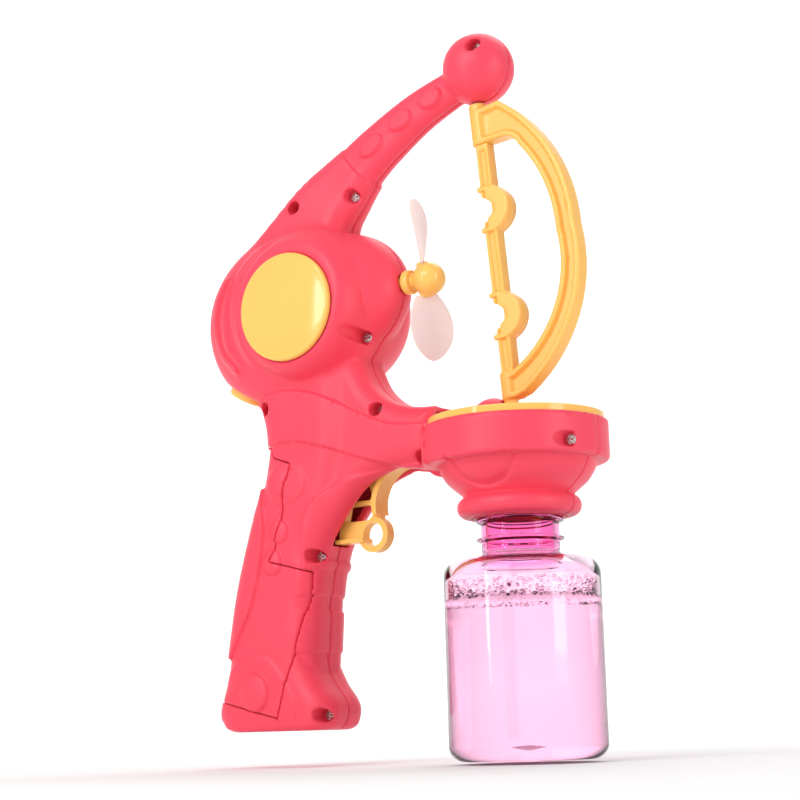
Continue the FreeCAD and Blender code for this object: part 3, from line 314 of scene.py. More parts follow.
def add_object(name, points, faces, place=None):
    """A smooth-shaded mesh from points in millimetres."""
    mesh = bpy.data.meshes.new(name)
    mesh.from_pydata([tuple(p) for p in points], [], faces)
    mesh.validate()
    if place is not None:
        mesh.transform(place)
    mesh.transform(Matrix.Scale(MM, 4))
    mesh.shade_smooth()
    return link_new(name, mesh)


def sampled(field, box, points):
    """The field's value at each point, interpolated."""
    at = (points - np.array(box.low)) / box.step
    base = np.clip(at.astype(int), 0, np.array(field.shape) - 2)
    f = at - base
    value = 0.0
    for dx in (0, 1):
        for dy in (0, 1):
            for dz in (0, 1):
                weight = ((f[:, 0] if dx else 1 - f[:, 0]) * (f[:, 1] if dy else 1 - f[:, 1])
                    * (f[:, 2] if dz else 1 - f[:, 2]))
                value = value + weight * field[base[:, 0] + dx, base[:, 1] + dy, base[:, 2] + dz]
    return value


def moulded(name, field, box, place=None, adapt=0.0):
    """A mesh of the surface where the field is zero, shaded by the field's own slope."""
    band = 4.0 * box.step
    field = np.clip(field, -band, band).astype(np.float32)
    field[0], field[-1] = band, band
    field[:, 0], field[:, -1] = band, band
    field[:, :, 0], field[:, :, -1] = band, band
    grid = openvdb.FloatGrid(band)
    grid.copyFromArray(np.ascontiguousarray(field))
    points, triangles, quads = grid.convertToPolygons(0.0, adapt)
    points = points * box.step + np.array(box.low)
    faces = [tuple(int(k) for k in face) for face in quads]
    faces += [tuple(int(k) for k in face) for face in triangles]
    slope = np.zeros((len(points), 3))
    for axis in range(3):
        shift = np.zeros(3)
        shift[axis] = box.step * 0.5
        slope[:, axis] = sampled(field, box, points + shift) - sampled(field, box, points - shift)
    length = np.maximum(np.linalg.norm(slope, axis=1), 1e-9)
    slope = slope / length[:, None]
    if place is not None:
        turn = np.array(place.to_3x3())
        slope = slope @ turn.T
    obj = add_object(name, points, faces, place)
    if len(obj.data.vertices) == len(slope):
        obj.data.normals_split_custom_set_from_vertices([tuple(n) for n in slope])
    return obj


def lathe(name, profile, place=None):
    """A closed outline of (radius, height) turned about z; points on the axis are shared."""
    segments = 144
    points = []
    rings = []
    for radius, height in profile:
        if radius < 1e-6:
            rings.append([len(points)] * segments)
            points.append((0.0, 0.0, height))
            continue
        rings.append(list(range(len(points), len(points) + segments)))
        for number in range(segments):
            angle = 2.0 * math.pi * number / segments
            points.append((radius * math.cos(angle), radius * math.sin(angle), height))
    faces = []
    for a, b in zip(rings, rings[1:] + rings[:1]):
        for number in range(segments):
            following = (number + 1) % segments
            corners = [a[number], a[following], b[following], b[number]]
            face = [c for k, c in enumerate(corners) if c not in corners[:k]]
            if len(face) > 2:
                faces.append(tuple(face))
    return add_object(name, points, faces, place)


def crease(obj):
    """Keeps the edges that turn by more than 35 degrees crisp."""
    obj.data.set_sharp_from_angle(angle=math.radians(35.0))
    return obj


# ---- casing ----
def grip_form(box):
    """The grip: a rounded upright bar. Its rear and front edges are curves of (z, x)."""
    rear = flowing([(11.0, -116.3), (13.2, -119.4), (17.6, -120.6), (21.1, -120.0), (26.5, -118.0),
        (35.5, -116.5), (57.0, -112.5), (71.5, -108.6), (86.0, -104.0), (96.0, -100.4), (109.0, -97.6),
        (116.0, -97.4), (127.0, -100.0), (136.0, -102.6)])
    front = flowing([(11.0, -74.5), (13.0, -72.2), (18.0, -70.8), (22.0, -72.2), (27.0, -76.0),
        (32.5, -78.6), (38.0, -79.0), (57.0, -77.5), (67.0, -75.8), (74.0, -73.8), (95.0, -66.5),
        (112.0, -62.0), (136.0, -62.0)])
    z = box.z
    back = np.interp(z, [p[0] for p in rear], [p[1] for p in rear]).astype(np.float32)
    fore = np.interp(z, [p[0] for p in front], [p[1] for p in front]).astype(np.float32)
    across = np.abs(box.x - (back + fore) / 2) - (fore - back) / 2
    form = rounded(across, np.abs(box.y) - GRIP_HALF, GRIP_CORNER)
    ends = np.maximum(GRIP_ENDS[0] - z, z - GRIP_ENDS[1])
    return overlap(form, ends, 3.0)


# side view of the neck between body and dish, with the curve over the trigger
NECK_OUTLINE = ([(-62.0, 146.0), (-57.2, 137.0)] + flowing([(-57.2, 137.0), (-54.2, 130.2),
    (-50.1, 125.4), (-45.1, 121.9), (-39.8, 119.9), (-33.6, 118.7), (-26.0, 118.4)]) + [(-26.0, 98.8)]
    + flowing([(-29.0, 99.0), (-41.5, 99.2), (-48.5, 98.1), (-54.9, 95.7), (-60.1, 91.8), (-65.2, 86.4),
    (-69.8, 80.8), (-75.0, 75.4)]) + [(-84.0, 75.0), (-84.0, 146.0)])


def neck_form(box):
    across = outline_distance(NECK_OUTLINE, box.x, box.z)
    return rounded(across, np.abs(box.y) - NECK_HALF, NECK_CORNER)


def round_body(box):
    """The rear body, a thick disc on a crosswise axis with a wide rounded edge."""
    across = np.hypot(box.x - BODY_AT[0], box.z - BODY_AT[1]) - BODY_R
    form = rounded(across, np.abs(box.y) - BODY_HALF, BODY_CORNER)
    facing = (math.sin(BUTTON_TILT), math.cos(BUTTON_TILT))
    flat = (box.x - BUTTON_AT[0]) * facing[0] + (box.z - BUTTON_AT[2]) * facing[1] - BUTTON_FLAT
    return overlap(form, flat, 1.0)


def pod_form(box):
    """The wide middle of the body, flat where the yellow discs sit."""
    reach = np.hypot(box.x - POD_AT[0], box.z - POD_AT[1])
    side = ellipse(np.maximum(reach - POD_FLAT_R, 0.0), box.y, POD_SKIRT, POD_HALF)
    face = np.abs(box.y) - POD_HALF
    form = np.where(reach < POD_FLAT_R, face, side).astype(np.float32)
    return overlap(form, box.x - POD_FRONT, 0.6)


def nacelle_form(box):
    """The motor housing: a bar with a domed front, slimmer and shorter towards its underside."""
    around = np.hypot(box.y * NACELLE_SLIM, box.z - NACELLE_Z)
    ahead = np.maximum(box.x - NACELLE_DOME, 0.0)
    below = np.maximum(NACELLE_Z - box.z, 0.0)
    dome = ellipse(ahead, around, NACELLE_LENGTH - 0.10 * below, NACELLE_R - 0.04 * below)
    return np.maximum(dome, NACELLE_REAR - box.x)


def arm_part(box, sections, corner):
    """One moulded length of the arm. A section is x, z, half height and half width."""
    spine = flowing(sections, count=5)
    best = np.float32(1e9)
    height = np.zeros(1, dtype=np.float32)
    width = np.zeros(1, dtype=np.float32)
    for a, b in zip(spine, spine[1:]):
        along, square = to_segment(a, b, box.x, box.z)
        nearer = square < best
        best = np.where(nearer, square, best)
        height = np.where(nearer, a[2] + (b[2] - a[2]) * along, height)
        width = np.where(nearer, a[3] + (b[3] - a[3]) * along, width)
    return rounded(np.sqrt(best) - height, np.abs(box.y) - width, np.minimum(corner, width * 0.9))


def beyond(box, point, angle):
    """Distance past a plane through the point; the angle says which way it faces in x-z."""
    turn = math.radians(angle)
    return (box.x - point[0]) * math.cos(turn) + (box.z - point[1]) * math.sin(turn)


def arm_form(box):
    """The arm's wide sleeve at the body and the slim length that goes on to the ball."""
    sleeve = arm_part(box, [(-96.0, 158.0, 25.5, 14.5), (-88.0, 173.0, 22.0, 13.5),
        (-77.6, 192.8, 14.6, 10.2), (-67.5, 203.0, 12.0, 8.2), (-56.4, 211.9, 9.2, 7.5),
        (-50.0, 215.4, 8.4, 7.2)], 7.0)
    # the sleeve's front edge is scalloped: it reaches further along the top and the underside
    aside = beyond(box, (-57.6, 206.5), -48.0)
    sleeve = overlap(sleeve, beyond(box, (-57.6, 206.5), 42.0) - 0.012 * aside ** 2, 0.8)
    slim = arm_part(box, [(-72.0, 196.2, 10.2, 6.8), (-66.1, 203.8, 10.0, 6.6), (-59.4, 210.0, 9.3, 6.4),
        (-49.8, 216.6, 8.4, 6.2), (-33.6, 225.5, 7.2, 5.7), (-14.0, 232.7, 6.0, 5.0)], 5.6)
    slim = np.maximum(slim, box.x + 8.0)
    return sleeve, slim


# outside and inside of the dish as (radius, height): collar, cone, rim
DISH_OUTLINE = trace([(0.0, 78.2), (17.2, 78.2), ((20.6, 81.8), (17.8, 85.2)), (21.6, 88.4),
    ((24.4, 91.4), (26.3, 96.0)), (28.9, 96.0), ((30.1, 96.5), (30.5, 97.8)), (30.5, 108.6),
    ((30.3, 109.1), (29.8, 109.3)), (0.0, 109.3)])
DISH_ROOM = trace([(0.0, 76.0), (15.4, 76.0), (15.4, 86.6), (22.4, 92.6), (24.5, 96.8), (24.6, 98.0),
    (28.2, 98.8), (28.35, 100.0), (28.35, 130.0), (0.0, 130.0)])
BRIDGE_HALF = 7.8
BRIDGE_Z = 104.2
BRIDGE_RISE = 10.2
DOME_AT = (-8.4, 109.0)         # x and z of the dome over the bow's pinion
DOME_HALF = (9.0, 10.2)         # its radius and its height
BRIDGE_WALL = 1.3


def bridge_form(box, inset):
    """The bridge across the tray to the dome over the bow's pinion, moved inwards by the inset."""
    half = BRIDGE_HALF - inset
    bar = np.maximum(np.abs(box.y) - half, np.abs(box.x + 15.1) - 15.9)
    end = np.hypot(box.x - 0.8, box.y) - half - 0.4
    plan = np.minimum(bar, end)
    form = rounded(plan, np.abs(box.z - BRIDGE_Z) - BRIDGE_RISE + inset, 4.0 - inset)
    reach = np.hypot(box.x - DOME_AT[0], box.y)
    dome = ellipse(reach, box.z - DOME_AT[1], DOME_HALF[0] - inset, DOME_HALF[1] - inset)
    return union(form, dome, 1.5)


def raised(x, z, outline, height, soft=0.9):
    return height * ramp(outline_distance(outline, x, z), soft)


def stud(x, z, at, half, height):
    """A low round, domed towards its middle; half is its half width and half height."""
    across = ellipse(x - at[0], z - at[1], half[0], half[1])
    crown = np.clip(1.0 - ((x - at[0]) / half[0]) ** 2 - ((z - at[1]) / half[1]) ** 2, 0.0, 1.0)
    return height * (0.6 * ramp(across, 0.6) + 0.6 * crown)


def groove(x, z, line, depth, width):
    return -depth * np.exp(-(line_distance(line, x, z) / width) ** 2)


def neck_relief(x, z):
    # the long raised panel that runs from the grip's top into the neck
    upper = flowing([(-103.0, 126.0), (-95.0, 128.6), (-83.0, 129.6), (-70.4, 126.3), (-56.0, 119.0),
        (-42.3, 113.3), (-24.0, 111.6)])
    lower = flowing([(-22.0, 96.0), (-31.0, 96.6), (-43.0, 99.0), (-56.5, 103.4), (-70.3, 108.3),
        (-82.7, 111.3), (-95.0, 110.9), (-104.0, 108.6)])
    yield raised(x, z, upper + lower, 1.2, 0.6)
    # lip round the trigger opening
    lip = flowing([(-80.0, 78.0), (-78.6, 84.0), (-74.9, 89.8), (-68.0, 93.8), (-60.0, 96.6),
        (-44.4, 98.6), (-30.0, 98.8)])
    yield raised(x, z, lip + [(-30.0, 80.0), (-60.0, 70.0), (-80.0, 66.0)], 0.8, 1.4)


def grip_relief(x, z):
    # crescent panel down the grip's back
    crescent = (flowing([(-98.5, 96.4), (-96.3, 80.0), (-101.4, 56.0), (-112.4, 37.0)])
        + [(-128.0, 36.2), (-124.0, 60.0), (-112.0, 92.0), (-104.0, 96.6)])
    yield raised(x, z, crescent, 1.4)
    # finger bands on the grip's front, fading out towards its middle
    for top, bottom in ((69.4, 58.2), (52.6, 39.0)):
        band = [(-92.0, top - 2.0), (-60.0, top + 1.6), (-60.0, bottom + 1.0), (-92.0, bottom - 2.0)]
        yield raised(x, z, band, 0.7) * ramp(-85.0 + (z - 39.0) * 0.08 - x, 3.0)
    # rounds along the door
    yield stud(x, z, (-86.4, 96.9), (8.8, 7.4), 0.9)
    yield stud(x, z, (-89.8, 96.9), (4.6, 5.0), 0.7)
    yield stud(x, z, (-89.3, 80.0), (3.9, 4.1), 1.3)
    yield stud(x, z, (-92.4, 69.4), (3.8, 4.4), 1.3)
    yield stud(x, z, (-101.0, 24.6), (6.2, 6.6), 1.6)
    # arched panel at the grip's foot, ending above the base
    arch = flowing([(-116.0, 27.0), (-112.6, 33.0), (-104.2, 37.4), (-95.2, 36.2), (-88.2, 29.0),
        (-84.4, 22.0), (-83.6, 15.4)])
    yield raised(x, z, arch + [(-83.6, 11.0), (-125.0, 11.0), (-125.0, 27.0)], 0.6) * ramp(15.2 - z, 1.0)
    # crease below the last band
    yield groove(x, z, flowing([(-83.4, 38.6), (-81.6, 34.4), (-76.6, 29.1), (-72.0, 25.0)]), 0.5, 0.8)


def body_relief(x, z):
    # swept fin on the round body
    fin = flowing([(-108.6, 172.4), (-112.4, 164.5), (-113.3, 155.9), (-111.0, 146.4), (-104.8, 139.0)])
    yield 2.2 * np.exp(-(line_distance(fin, x, z) / 1.5) ** 2)
    # ring round the pod, strongest at the upper rear
    reach = np.hypot(x - POD_AT[0], z - POD_AT[1])
    turn = np.cos(np.arctan2(z - POD_AT[1], x - POD_AT[0]) - math.radians(125.0))
    yield 1.5 * np.exp(-((reach - 28.2) / 1.8) ** 2) * np.clip(turn + 0.6, 0.0, 1.0)


def arm_relief(x, z):
    # raised ovals, each along the arm's slope at its place
    for px, pz, half, slope in ((-51.0, 214.9, 5.2, 30.0), (-38.6, 221.7, 4.8, 24.0),
            (-26.0, 227.2, 4.4, 24.0)):
        lean = math.radians(slope)
        along = (x - px) * math.cos(lean) + (z - pz) * math.sin(lean)
        out = (z - pz) * math.cos(lean) - (x - px) * math.sin(lean)
        yield 1.2 * ramp(ellipse(along, out, half, 3.2), 0.8)


def dish_relief(x, z):
    # arch engraved on the cone
    yield groove(x, z, flowing([(-10.6, 96.4), (-8.0, 90.6), (0.2, 87.6), (8.2, 90.2), (11.4, 95.6)]),
        0.9, 0.8)


def side_relief(x, z):
    """Height of the moulded-on pattern of the casing's sides, raised positive and sunk negative."""
    relief = np.zeros(np.broadcast_shapes(x.shape, z.shape), dtype=np.float32)
    for pattern in (neck_relief, grip_relief, body_relief, arm_relief, dish_relief):
        for height in pattern(x, z):
            relief += height
    return relief


# side view of the battery door, which takes in the grip's whole rear
DOOR_OUTLINE = [(-130.0, 113.0), (-97.2, 111.6), (-94.0, 110.4), (-92.0, 106.5), (-84.0, 103.5),
    (-84.9, 99.9), (-87.4, 92.9), (-88.2, 86.0), (-89.0, 82.0), (-91.2, 77.1), (-91.8, 73.0),
    (-93.6, 69.7), (-77.8, 65.4), (-78.6, 59.0), (-80.2, 52.8), (-84.0, 39.6), (-84.2, 37.6),
    (-87.4, 29.4), (-91.4, 15.6), (-130.0, 25.4)]
TRIGGER_SLOT = [(-35.5, 90.0), (-35.5, 101.5), (-66.0, 101.5), (-86.0, 80.0), (-86.0, 74.6), (-60.0, 74.6)]


def casing_fields(box):
    """Distances to the casing's outside, to its hollow, and to the dish's open room."""
    body = union(round_body(box), pod_form(box), 1.6)
    grip = union(grip_form(box), neck_form(box), 3.0)
    body = union(body, grip, 2.2)
    body = union(body, nacelle_form(box), 1.2)
    sleeve, slim = arm_form(box)
    body = union(body, sleeve, 1.6)
    body = union(body, slim, 0.5)
    ball = np.sqrt((box.x - BALL_AT[0]) ** 2 + box.y ** 2 + (box.z - BALL_AT[2]) ** 2) - BALL_R
    body = union(body, ball, 1.0)
    radius = np.hypot(box.x, box.y)
    dish = turned(DISH_OUTLINE, radius, box.z)
    room = turned(DISH_ROOM, radius, box.z)
    outer = union(body, dish, 1.5) - side_relief(box.x, box.z)
    return outer, body + WALL, room


def point_along(at, axis, reach):
    return [a + reach * d for a, d in zip(at, axis)]


def casing_openings(box):
    """The round openings of the casing."""
    bow_axis = (-math.sin(BOW_LEAN), 0.0, math.cos(BOW_LEAN))
    button_axis = (math.sin(BUTTON_TILT), 0.0, math.cos(BUTTON_TILT))
    holes = [((-60.0, 0.0, SHAFT_Z), (1.0, 0.0, 0.0), 20.0, SHAFT_HOLE_R),
        (point_along(BOW_FOOT, bow_axis, -9.0), bow_axis, 9.0, BOW_FOOT_HOLE_R),
        (point_along(BOW_FOOT, bow_axis, 100.0), bow_axis, 14.0, BOW_PIN_HOLE_R),
        (point_along(BOW_FOOT, bow_axis, 104.0), bow_axis, 1.5, BOW_SLEEVE_HOLE_R),
        (point_along(BUTTON_AT, button_axis, -8.0), button_axis, 20.0, BUTTON_HOLE_R)]
    return [cylinder(box, *hole) for hole in holes]


def build_casing():
    """The two shells and the door, cut from one form whose y > 0 half is worked out and mirrored."""
    box = Box((-127.0, 0.0, 8.0), (33.0, 31.8, 250.4), CASING_STEP)
    outer, hollow, room = casing_fields(box)
    outer = overlap(outer, BASE_CUT - box.z, 0.8)
    bridge = bridge_form(box, 0.0)
    shell = minus(outer, np.minimum(hollow, np.maximum(room, -bridge)))
    shell = np.minimum(shell, np.maximum(bridge, -np.minimum(bridge_form(box, BRIDGE_WALL), hollow)))
    boss = np.float32(1e9)
    for x, z, _ in SCREWS:
        boss = np.minimum(boss, np.hypot(box.x - x, box.z - z) - BOSS_R)
    shell = np.minimum(shell, np.maximum(boss, outer))
    slot = np.maximum(outline_distance(TRIGGER_SLOT, box.x, box.z), np.abs(box.y) - SLOT_HALF)
    shell = minus(shell, slot, 0.5)
    for opening in casing_openings(box):
        shell = minus(shell, opening, 0.5)
    cap_seat = np.maximum(np.hypot(box.x - CAP_AT[0], box.z - CAP_AT[1]) - CAP_R - CAP_GAP,
        POD_HALF - CAP_SINK - box.y)
    shell = minus(shell, cap_seat, 0.4)
    door_edge = outline_distance(DOOR_OUTLINE, box.x, box.z)
    shell = overlap(shell, SEAM_GAP - door_edge, SEAM_ROUND)
    half = overlap(shell, SEAM_GAP * 0.5 - box.y, SEAM_ROUND)
    drilled = half
    for x, z, depth in SCREWS:
        bore = np.hypot(box.x - x, box.z - z) - SCREW_HOLE_R
        drilled = minus(drilled, np.maximum(bore, depth - box.y), 0.35)
    door = overlap(minus(outer, hollow), door_edge + SEAM_GAP, SEAM_ROUND)
    door_axis = (-math.cos(DOOR_ANGLE), 0.0, math.sin(DOOR_ANGLE))
    door = minus(door, cylinder(box, DOOR_SCREW_AT, door_axis, 12.0, DOOR_SCREW_HOLE_R), 0.5)
    return {"left_shell": mesh_half("left_shell", half, box, 1),
        "right_shell": mesh_half("right_shell", drilled, box, -1),
        "battery_door": mesh_both("battery_door", door, box)}


def mesh_half(name, half, box, side):
    """Meshes one shell; the samples start in the middle plane, so two more are laid beyond it."""
    pad = np.full((half.shape[0], 2, half.shape[2]), 1.2, dtype=np.float32)
    pad[:, 1, :] = np.maximum(half[:, 0, :], 0.6)
    field = np.concatenate([pad, half], axis=1)
    if side > 0:
        return mesh_from(name, field, box, -2 * box.step)
    return mesh_from(name, field[:, ::-1, :], box, -(half.shape[1] - 1) * box.step)


def mesh_both(name, half, box):
    """Meshes a form together with its mirror image in the middle plane."""
    field = np.concatenate([half[:, :0:-1, :], half], axis=1)
    return mesh_from(name, field, box, -(half.shape[1] - 1) * box.step)


def mesh_from(name, field, box, low_y):
    """Meshes samples that start at another y than the box's own."""
    corner = (box.low[0], low_y, box.low[2])
    return moulded(name + "_form", field, Box(corner, corner, box.step), adapt=CASING_ADAPT)


def build_screws():
    """Pan-head screws with crossed slots, one for every boss of the casing."""
    points = []
    faces = []
    narrow, long = CROSS_HALF
    for x, z, start in SCREWS:
        box = Box((-2.9, -start - 2.0, -2.9), (2.9, 3.8, 2.9), 0.25)
        reach = np.hypot(box.x, box.z)
        head = ellipse(reach, np.minimum(box.y + start, 0.0), SCREW_HEAD_R, SCREW_HEAD_RISE)
        head = overlap(head, box.y + start, 0.2)
        ridge = 0.16 * np.sin(box.y * 2.0 * math.pi / THREAD_PITCH)
        length = np.abs(box.y - (SHANK_END - start) / 2.0) - (SHANK_END + start) / 2.0
        shank = rounded(reach - SHANK_R - ridge, length, 0.3)
        cross = np.minimum(np.maximum(np.abs(box.x) - narrow, np.abs(box.z) - long),
            np.maximum(np.abs(box.z) - narrow, np.abs(box.x) - long))
        screw = minus(union(head, shank, 0.1), np.maximum(cross, box.y + start + 0.5))
        piece = moulded("one_screw", screw, box, Matrix.Translation((x, 0.0, z)), adapt=0.05)
        first = len(points)
        points += [tuple(1000.0 * c for c in corner.co) for corner in piece.data.vertices]
        faces += [tuple(first + k for k in face.vertices) for face in piece.data.polygons]
        bpy.data.objects.remove(piece)
    return add_object("shell_screws_form", points, faces)


# ---- bow ----
# outer and inner edge of the bow's limb, from its axis outwards and from its foot up
BOW_OUTER = trace([(-2.0, 102.2), (9.6, 103.2), ((24.8, 85.8), (32.8, 54.0)), ((27.4, 22.0), (7.0, 0.8)),
    (3.4, -0.2), (-2.0, -0.2)], 14)
BOW_INNER = trace([(-9.0, 90.0), (8.2, 90.0), ((12.4, 89.2), (15.4, 85.6)), ((23.6, 69.2), (25.8, 52.5)),
    ((20.4, 24.6), (2.6, 8.6)), (-9.0, 8.6)], 14)
BOW_SLEEVES = ((90.0, 104.9, 3.1), (0.0, 9.4, 2.9), (-5.0, 2.0, 2.4))   # low end, high end, radius
WEB_HALF = 1.5
RIB_RISE = 1.7
BAR_MIDDLE = 48.5
BAR_HALF_LENGTH = 41.45
BAR_RIB_HALF = 3.2
RING_HEIGHTS = (28.7, 66.4)
RING_U = 0.9                    # the rings' middle, ahead of the bow's axis
RING_WIDE = 2.8


def bow_matrix():
    return Matrix.Translation(BOW_FOOT) @ Matrix.Rotation(-BOW_LEAN, 4, "Y")


def build_bow():
    """The limb, with a thin web between two ribs, and the sleeves it turns on."""
    box = Box((-6.0, -4.8, -6.6), (36.6, 4.8, 107.4), FINE_STEP)
    u, v, w = box.x, np.abs(box.y), box.z
    plan = np.maximum(outline_distance(BOW_OUTER, u, w), -outline_distance(BOW_INNER, u, w))
    plan = np.maximum(plan, -u)
    thick = WEB_HALF + RIB_RISE * ramp(-plan - 2.1, 0.9)
    limb = rounded(plan, v - thick, 0.7)
    axis = np.hypot(u, box.y)
    for low, high, radius in BOW_SLEEVES:
        sleeve = rounded(axis - radius, np.abs(w - (low + high) / 2) - (high - low) / 2, 0.5)
        limb = union(limb, sleeve, 0.8)
    limb = minus(limb, np.maximum(axis - 1.3, 94.0 - w), 0.2)
    return moulded("bow_arc_form", limb, box, bow_matrix(), adapt=0.1)


def film_ring(u, v, w, middle):
    """Half a ring, open to the rear, with a thin outer flange and a prong at each tip."""
    reach = np.hypot(u - RING_U, w - middle)
    front = RING_U - 0.4 - u
    ring = rounded(np.maximum(np.abs(reach - 5.4) - RING_WIDE, front), v - BAR_RIB_HALF, 0.5)
    flange = rounded(np.maximum(np.abs(reach - 5.6) - RING_WIDE, front), v - 1.0, 0.4)
    ring = union(ring, flange, 0.4)
    for tip in (middle + 7.3, middle - 7.3):
        side = np.maximum(np.abs(u - RING_U + 1.4) - 1.8, np.abs(w - tip) - 0.8)
        ring = union(ring, rounded(side, v - BAR_RIB_HALF, 0.4), 0.3)
    return ring


def build_bar():
    """The straight bar with its sunk panel and the two film rings."""
    box = Box((-4.5, -4.8, 4.5), (10.5, 4.8, 92.4), FINE_STEP)
    u, v, w = box.x, np.abs(box.y), box.z
    across = np.abs(u - 1.1)
    along = np.abs(w - BAR_MIDDLE)
    sunk = 0.9 * ramp(across - 1.1, 0.5) * ramp(along - 39.0, 1.0)
    bar = rounded(np.maximum(across - 2.4, along - BAR_HALF_LENGTH), v - 2.6 + sunk, 0.5)
    for middle in RING_HEIGHTS:
        bar = union(bar, film_ring(u, v, w, middle), 0.6)
        bar = minus(bar, np.hypot(u - RING_U + 3.2, w - middle) - 4.7, 0.3)
    return moulded("bow_bar_form", bar, box, bow_matrix(), adapt=0.1)


# ---- fan ----
HUB_R = 5.9


def fan_matrix():
    return Matrix.Translation((HUB_X, 0.0, SHAFT_Z))


def build_hub():
    """The ball on its collar, with two sockets that the blades stand in."""
    box = Box((-13.4, -7.2, -7.2), (6.9, 7.2, 7.2), FINE_STEP)
    reach = np.hypot(box.y, box.z)
    ball = np.sqrt(box.x ** 2 + box.y ** 2 + box.z ** 2) - HUB_R
    neck = rounded(reach - 2.6, np.abs(box.x + 7.3) - 5.2, 0.4)
    collar = rounded(reach - 4.4, np.abs(box.x + 8.1) - 1.5, 0.7)
    hub = union(union(ball, neck, 1.0), collar, 0.5)
    for sign in (1, -1):
        out = (0.0, sign * math.sin(-FAN_TURN), sign * math.cos(-FAN_TURN))
        hub = union(hub, cylinder(box, (BLADE_X - HUB_X, 0.0, 0.0), out, 6.2, 2.4, 0.8), 0.8)
    hub = minus(hub, np.maximum(reach - 1.0, box.x + 1.0))
    return moulded("fan_hub_form", hub, box, fan_matrix(), adapt=0.05)


# a blade's half chord at each distance from the fan's axis
BLADE_CHORD = [(5.4, 4.4), (9.0, 6.8), (13.0, 8.7), (17.6, 9.6), (22.4, 8.9), (26.2, 5.9), (28.0, 2.8),
    (28.6, 0.4)]
BLADE_HALF_THICK = 0.55
BLADE_CUP = 0.9


def blade_point(out, half, angle):
    """A point on the edge of a blade's section, in the blade's own frame."""
    twist = math.radians(10.0 * (18.0 - out) / 12.0)
    along = half * math.cos(angle)
    lift = BLADE_HALF_THICK * math.sin(angle) + BLADE_CUP * (along / 9.0) ** 2 - 0.3
    return Vector((along * math.cos(twist) - lift * math.sin(twist),
        along * math.sin(twist) + lift * math.cos(twist), out))


def build_blades():
    """Two soft paddles, thin at the edge, cupped across and twisted along their length."""
    chord = flowing(BLADE_CHORD, count=5)
    around = 24
    points = []
    faces = []
    for turn in (0.0, math.pi):
        place = Matrix.Rotation(turn + FAN_TURN, 4, "X") @ Matrix.Rotation(BLADE_PITCH, 4, "Z")
        first = len(points)
        for out, half in chord:
            points += [place @ blade_point(out, half, 2.0 * math.pi * number / around)
                for number in range(around)]
        last = first + (len(chord) - 1) * around
        for a in range(first, last, around):
            for number in range(around):
                following = (number + 1) % around
                faces.append((a + number, a + following, a + around + following, a + around + number))
        faces.append(tuple(first + number for number in reversed(range(around))))
        faces.append(tuple(last + number for number in range(around)))
    return add_object("fan_blades_form", points, faces, Matrix.Translation((BLADE_X, 0.0, SHAFT_Z)))


# ---- discs and button ----
def build_cap(side):
    """Glossy domed disc with a rolled edge."""
    profile = trace([(0.0, 0.0), (CAP_R, 0.0), (CAP_R, 0.9), ((CAP_R - 0.3, 1.5), (CAP_R - 1.0, 1.8)),
        ((10.0, 3.0), (0.0, 3.4))], 12)
    place = (Matrix.Translation((CAP_AT[0], side * (POD_HALF + 0.02), CAP_AT[1]))
        @ Matrix.Rotation(-side * math.pi / 2, 4, "X"))
    return crease(lathe("side_cap_" + ("left" if side > 0 else "right"), profile, place))


def button_matrix(at):
    """From a frame whose z is the button's axis to the button's tilt and place."""
    return Matrix.Translation(at) @ Matrix.Rotation(BUTTON_TILT, 4, "Y")


def build_button():
    """Round thumb button with a domed face, on a wider flange inside the casing."""
    profile = trace([(0.0, -1.0), (4.6, -1.0), (4.6, -5.0), (8.6, -5.0), (8.6, -3.5), (7.6, -3.5),
        (7.6, 3.2), ((7.2, 4.2), (6.0, 4.6)), ((3.2, 5.2), (0.0, 5.4))], 8)
    return crease(lathe("power_button_form", profile, button_matrix(BUTTON_AT)))


def build_dome():
    """Soft rubber bell between the button and the switch's frame."""
    profile = trace([(2.0, DOME_FOOT), (3.9, DOME_FOOT), (3.9, -7.9), ((3.7, -5.2), (2.6, -4.4)),
        ((2.5, -3.2), (2.3, -3.0)), (1.9, -3.0), (1.9, -4.6), ((3.0, -5.6), (3.2, -7.8)), (2.0, -7.8),
        (2.0, DOME_FOOT)], 8)
    return crease(lathe("button_dome_form", profile, button_matrix(CAD_BUTTON_AT)))


def squash_dome(dome):
    """Gives the bell a mesh of its own."""
    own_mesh(dome)


# ---- bottle ----
BOTTLE_R = 25.8
BOTTLE_WALL = 1.2
LIQUID_TOP = 51.2
BUBBLES = 2400
BUBBLE_R = (0.25, 0.65)         # smallest and largest
FOAM_RISE = (1.2, 6.2)          # how high the raft reaches in the middle and against the wall


def bottle_profile():
    """The wall as (radius, height): outside from the base's raised middle to the lip, then the inside."""
    outside = trace([(0.0, 4.2), ((6.0, 3.1), (10.5, 0.3)), ((11.6, 0.0), (12.8, 0.0)), (20.8, 0.0),
        ((24.0, 1.3), (BOTTLE_R, 4.5)), (BOTTLE_R, 58.6), ((24.6, 62.6), (19.6, 64.9)), (14.4, 66.4),
        ((13.2, 67.0), (12.9, 68.0))], 10)
    for low in (70.0, 76.0, 79.8):
        outside += [(12.9, low), (14.4, low + 0.7), (14.4, low + 1.3), (12.9, low + 2.0)]
    outside += trace([(12.9, 83.2), ((12.3, 83.8), (11.8, 84.0))], 3)
    inside = trace([(11.2, 83.8), (11.0, 83.0), (11.0, 67.6), ((12.0, 65.8), (14.6, 64.8)), (18.2, 63.7),
        ((22.8, 61.6), (BOTTLE_R - BOTTLE_WALL, 57.8)), (BOTTLE_R - BOTTLE_WALL, 5.0),
        ((22.9, 2.2), (20.4, 1.2)), (12.9, 1.2), ((6.4, 4.4), (0.0, 5.5))], 10)
    return outside + inside


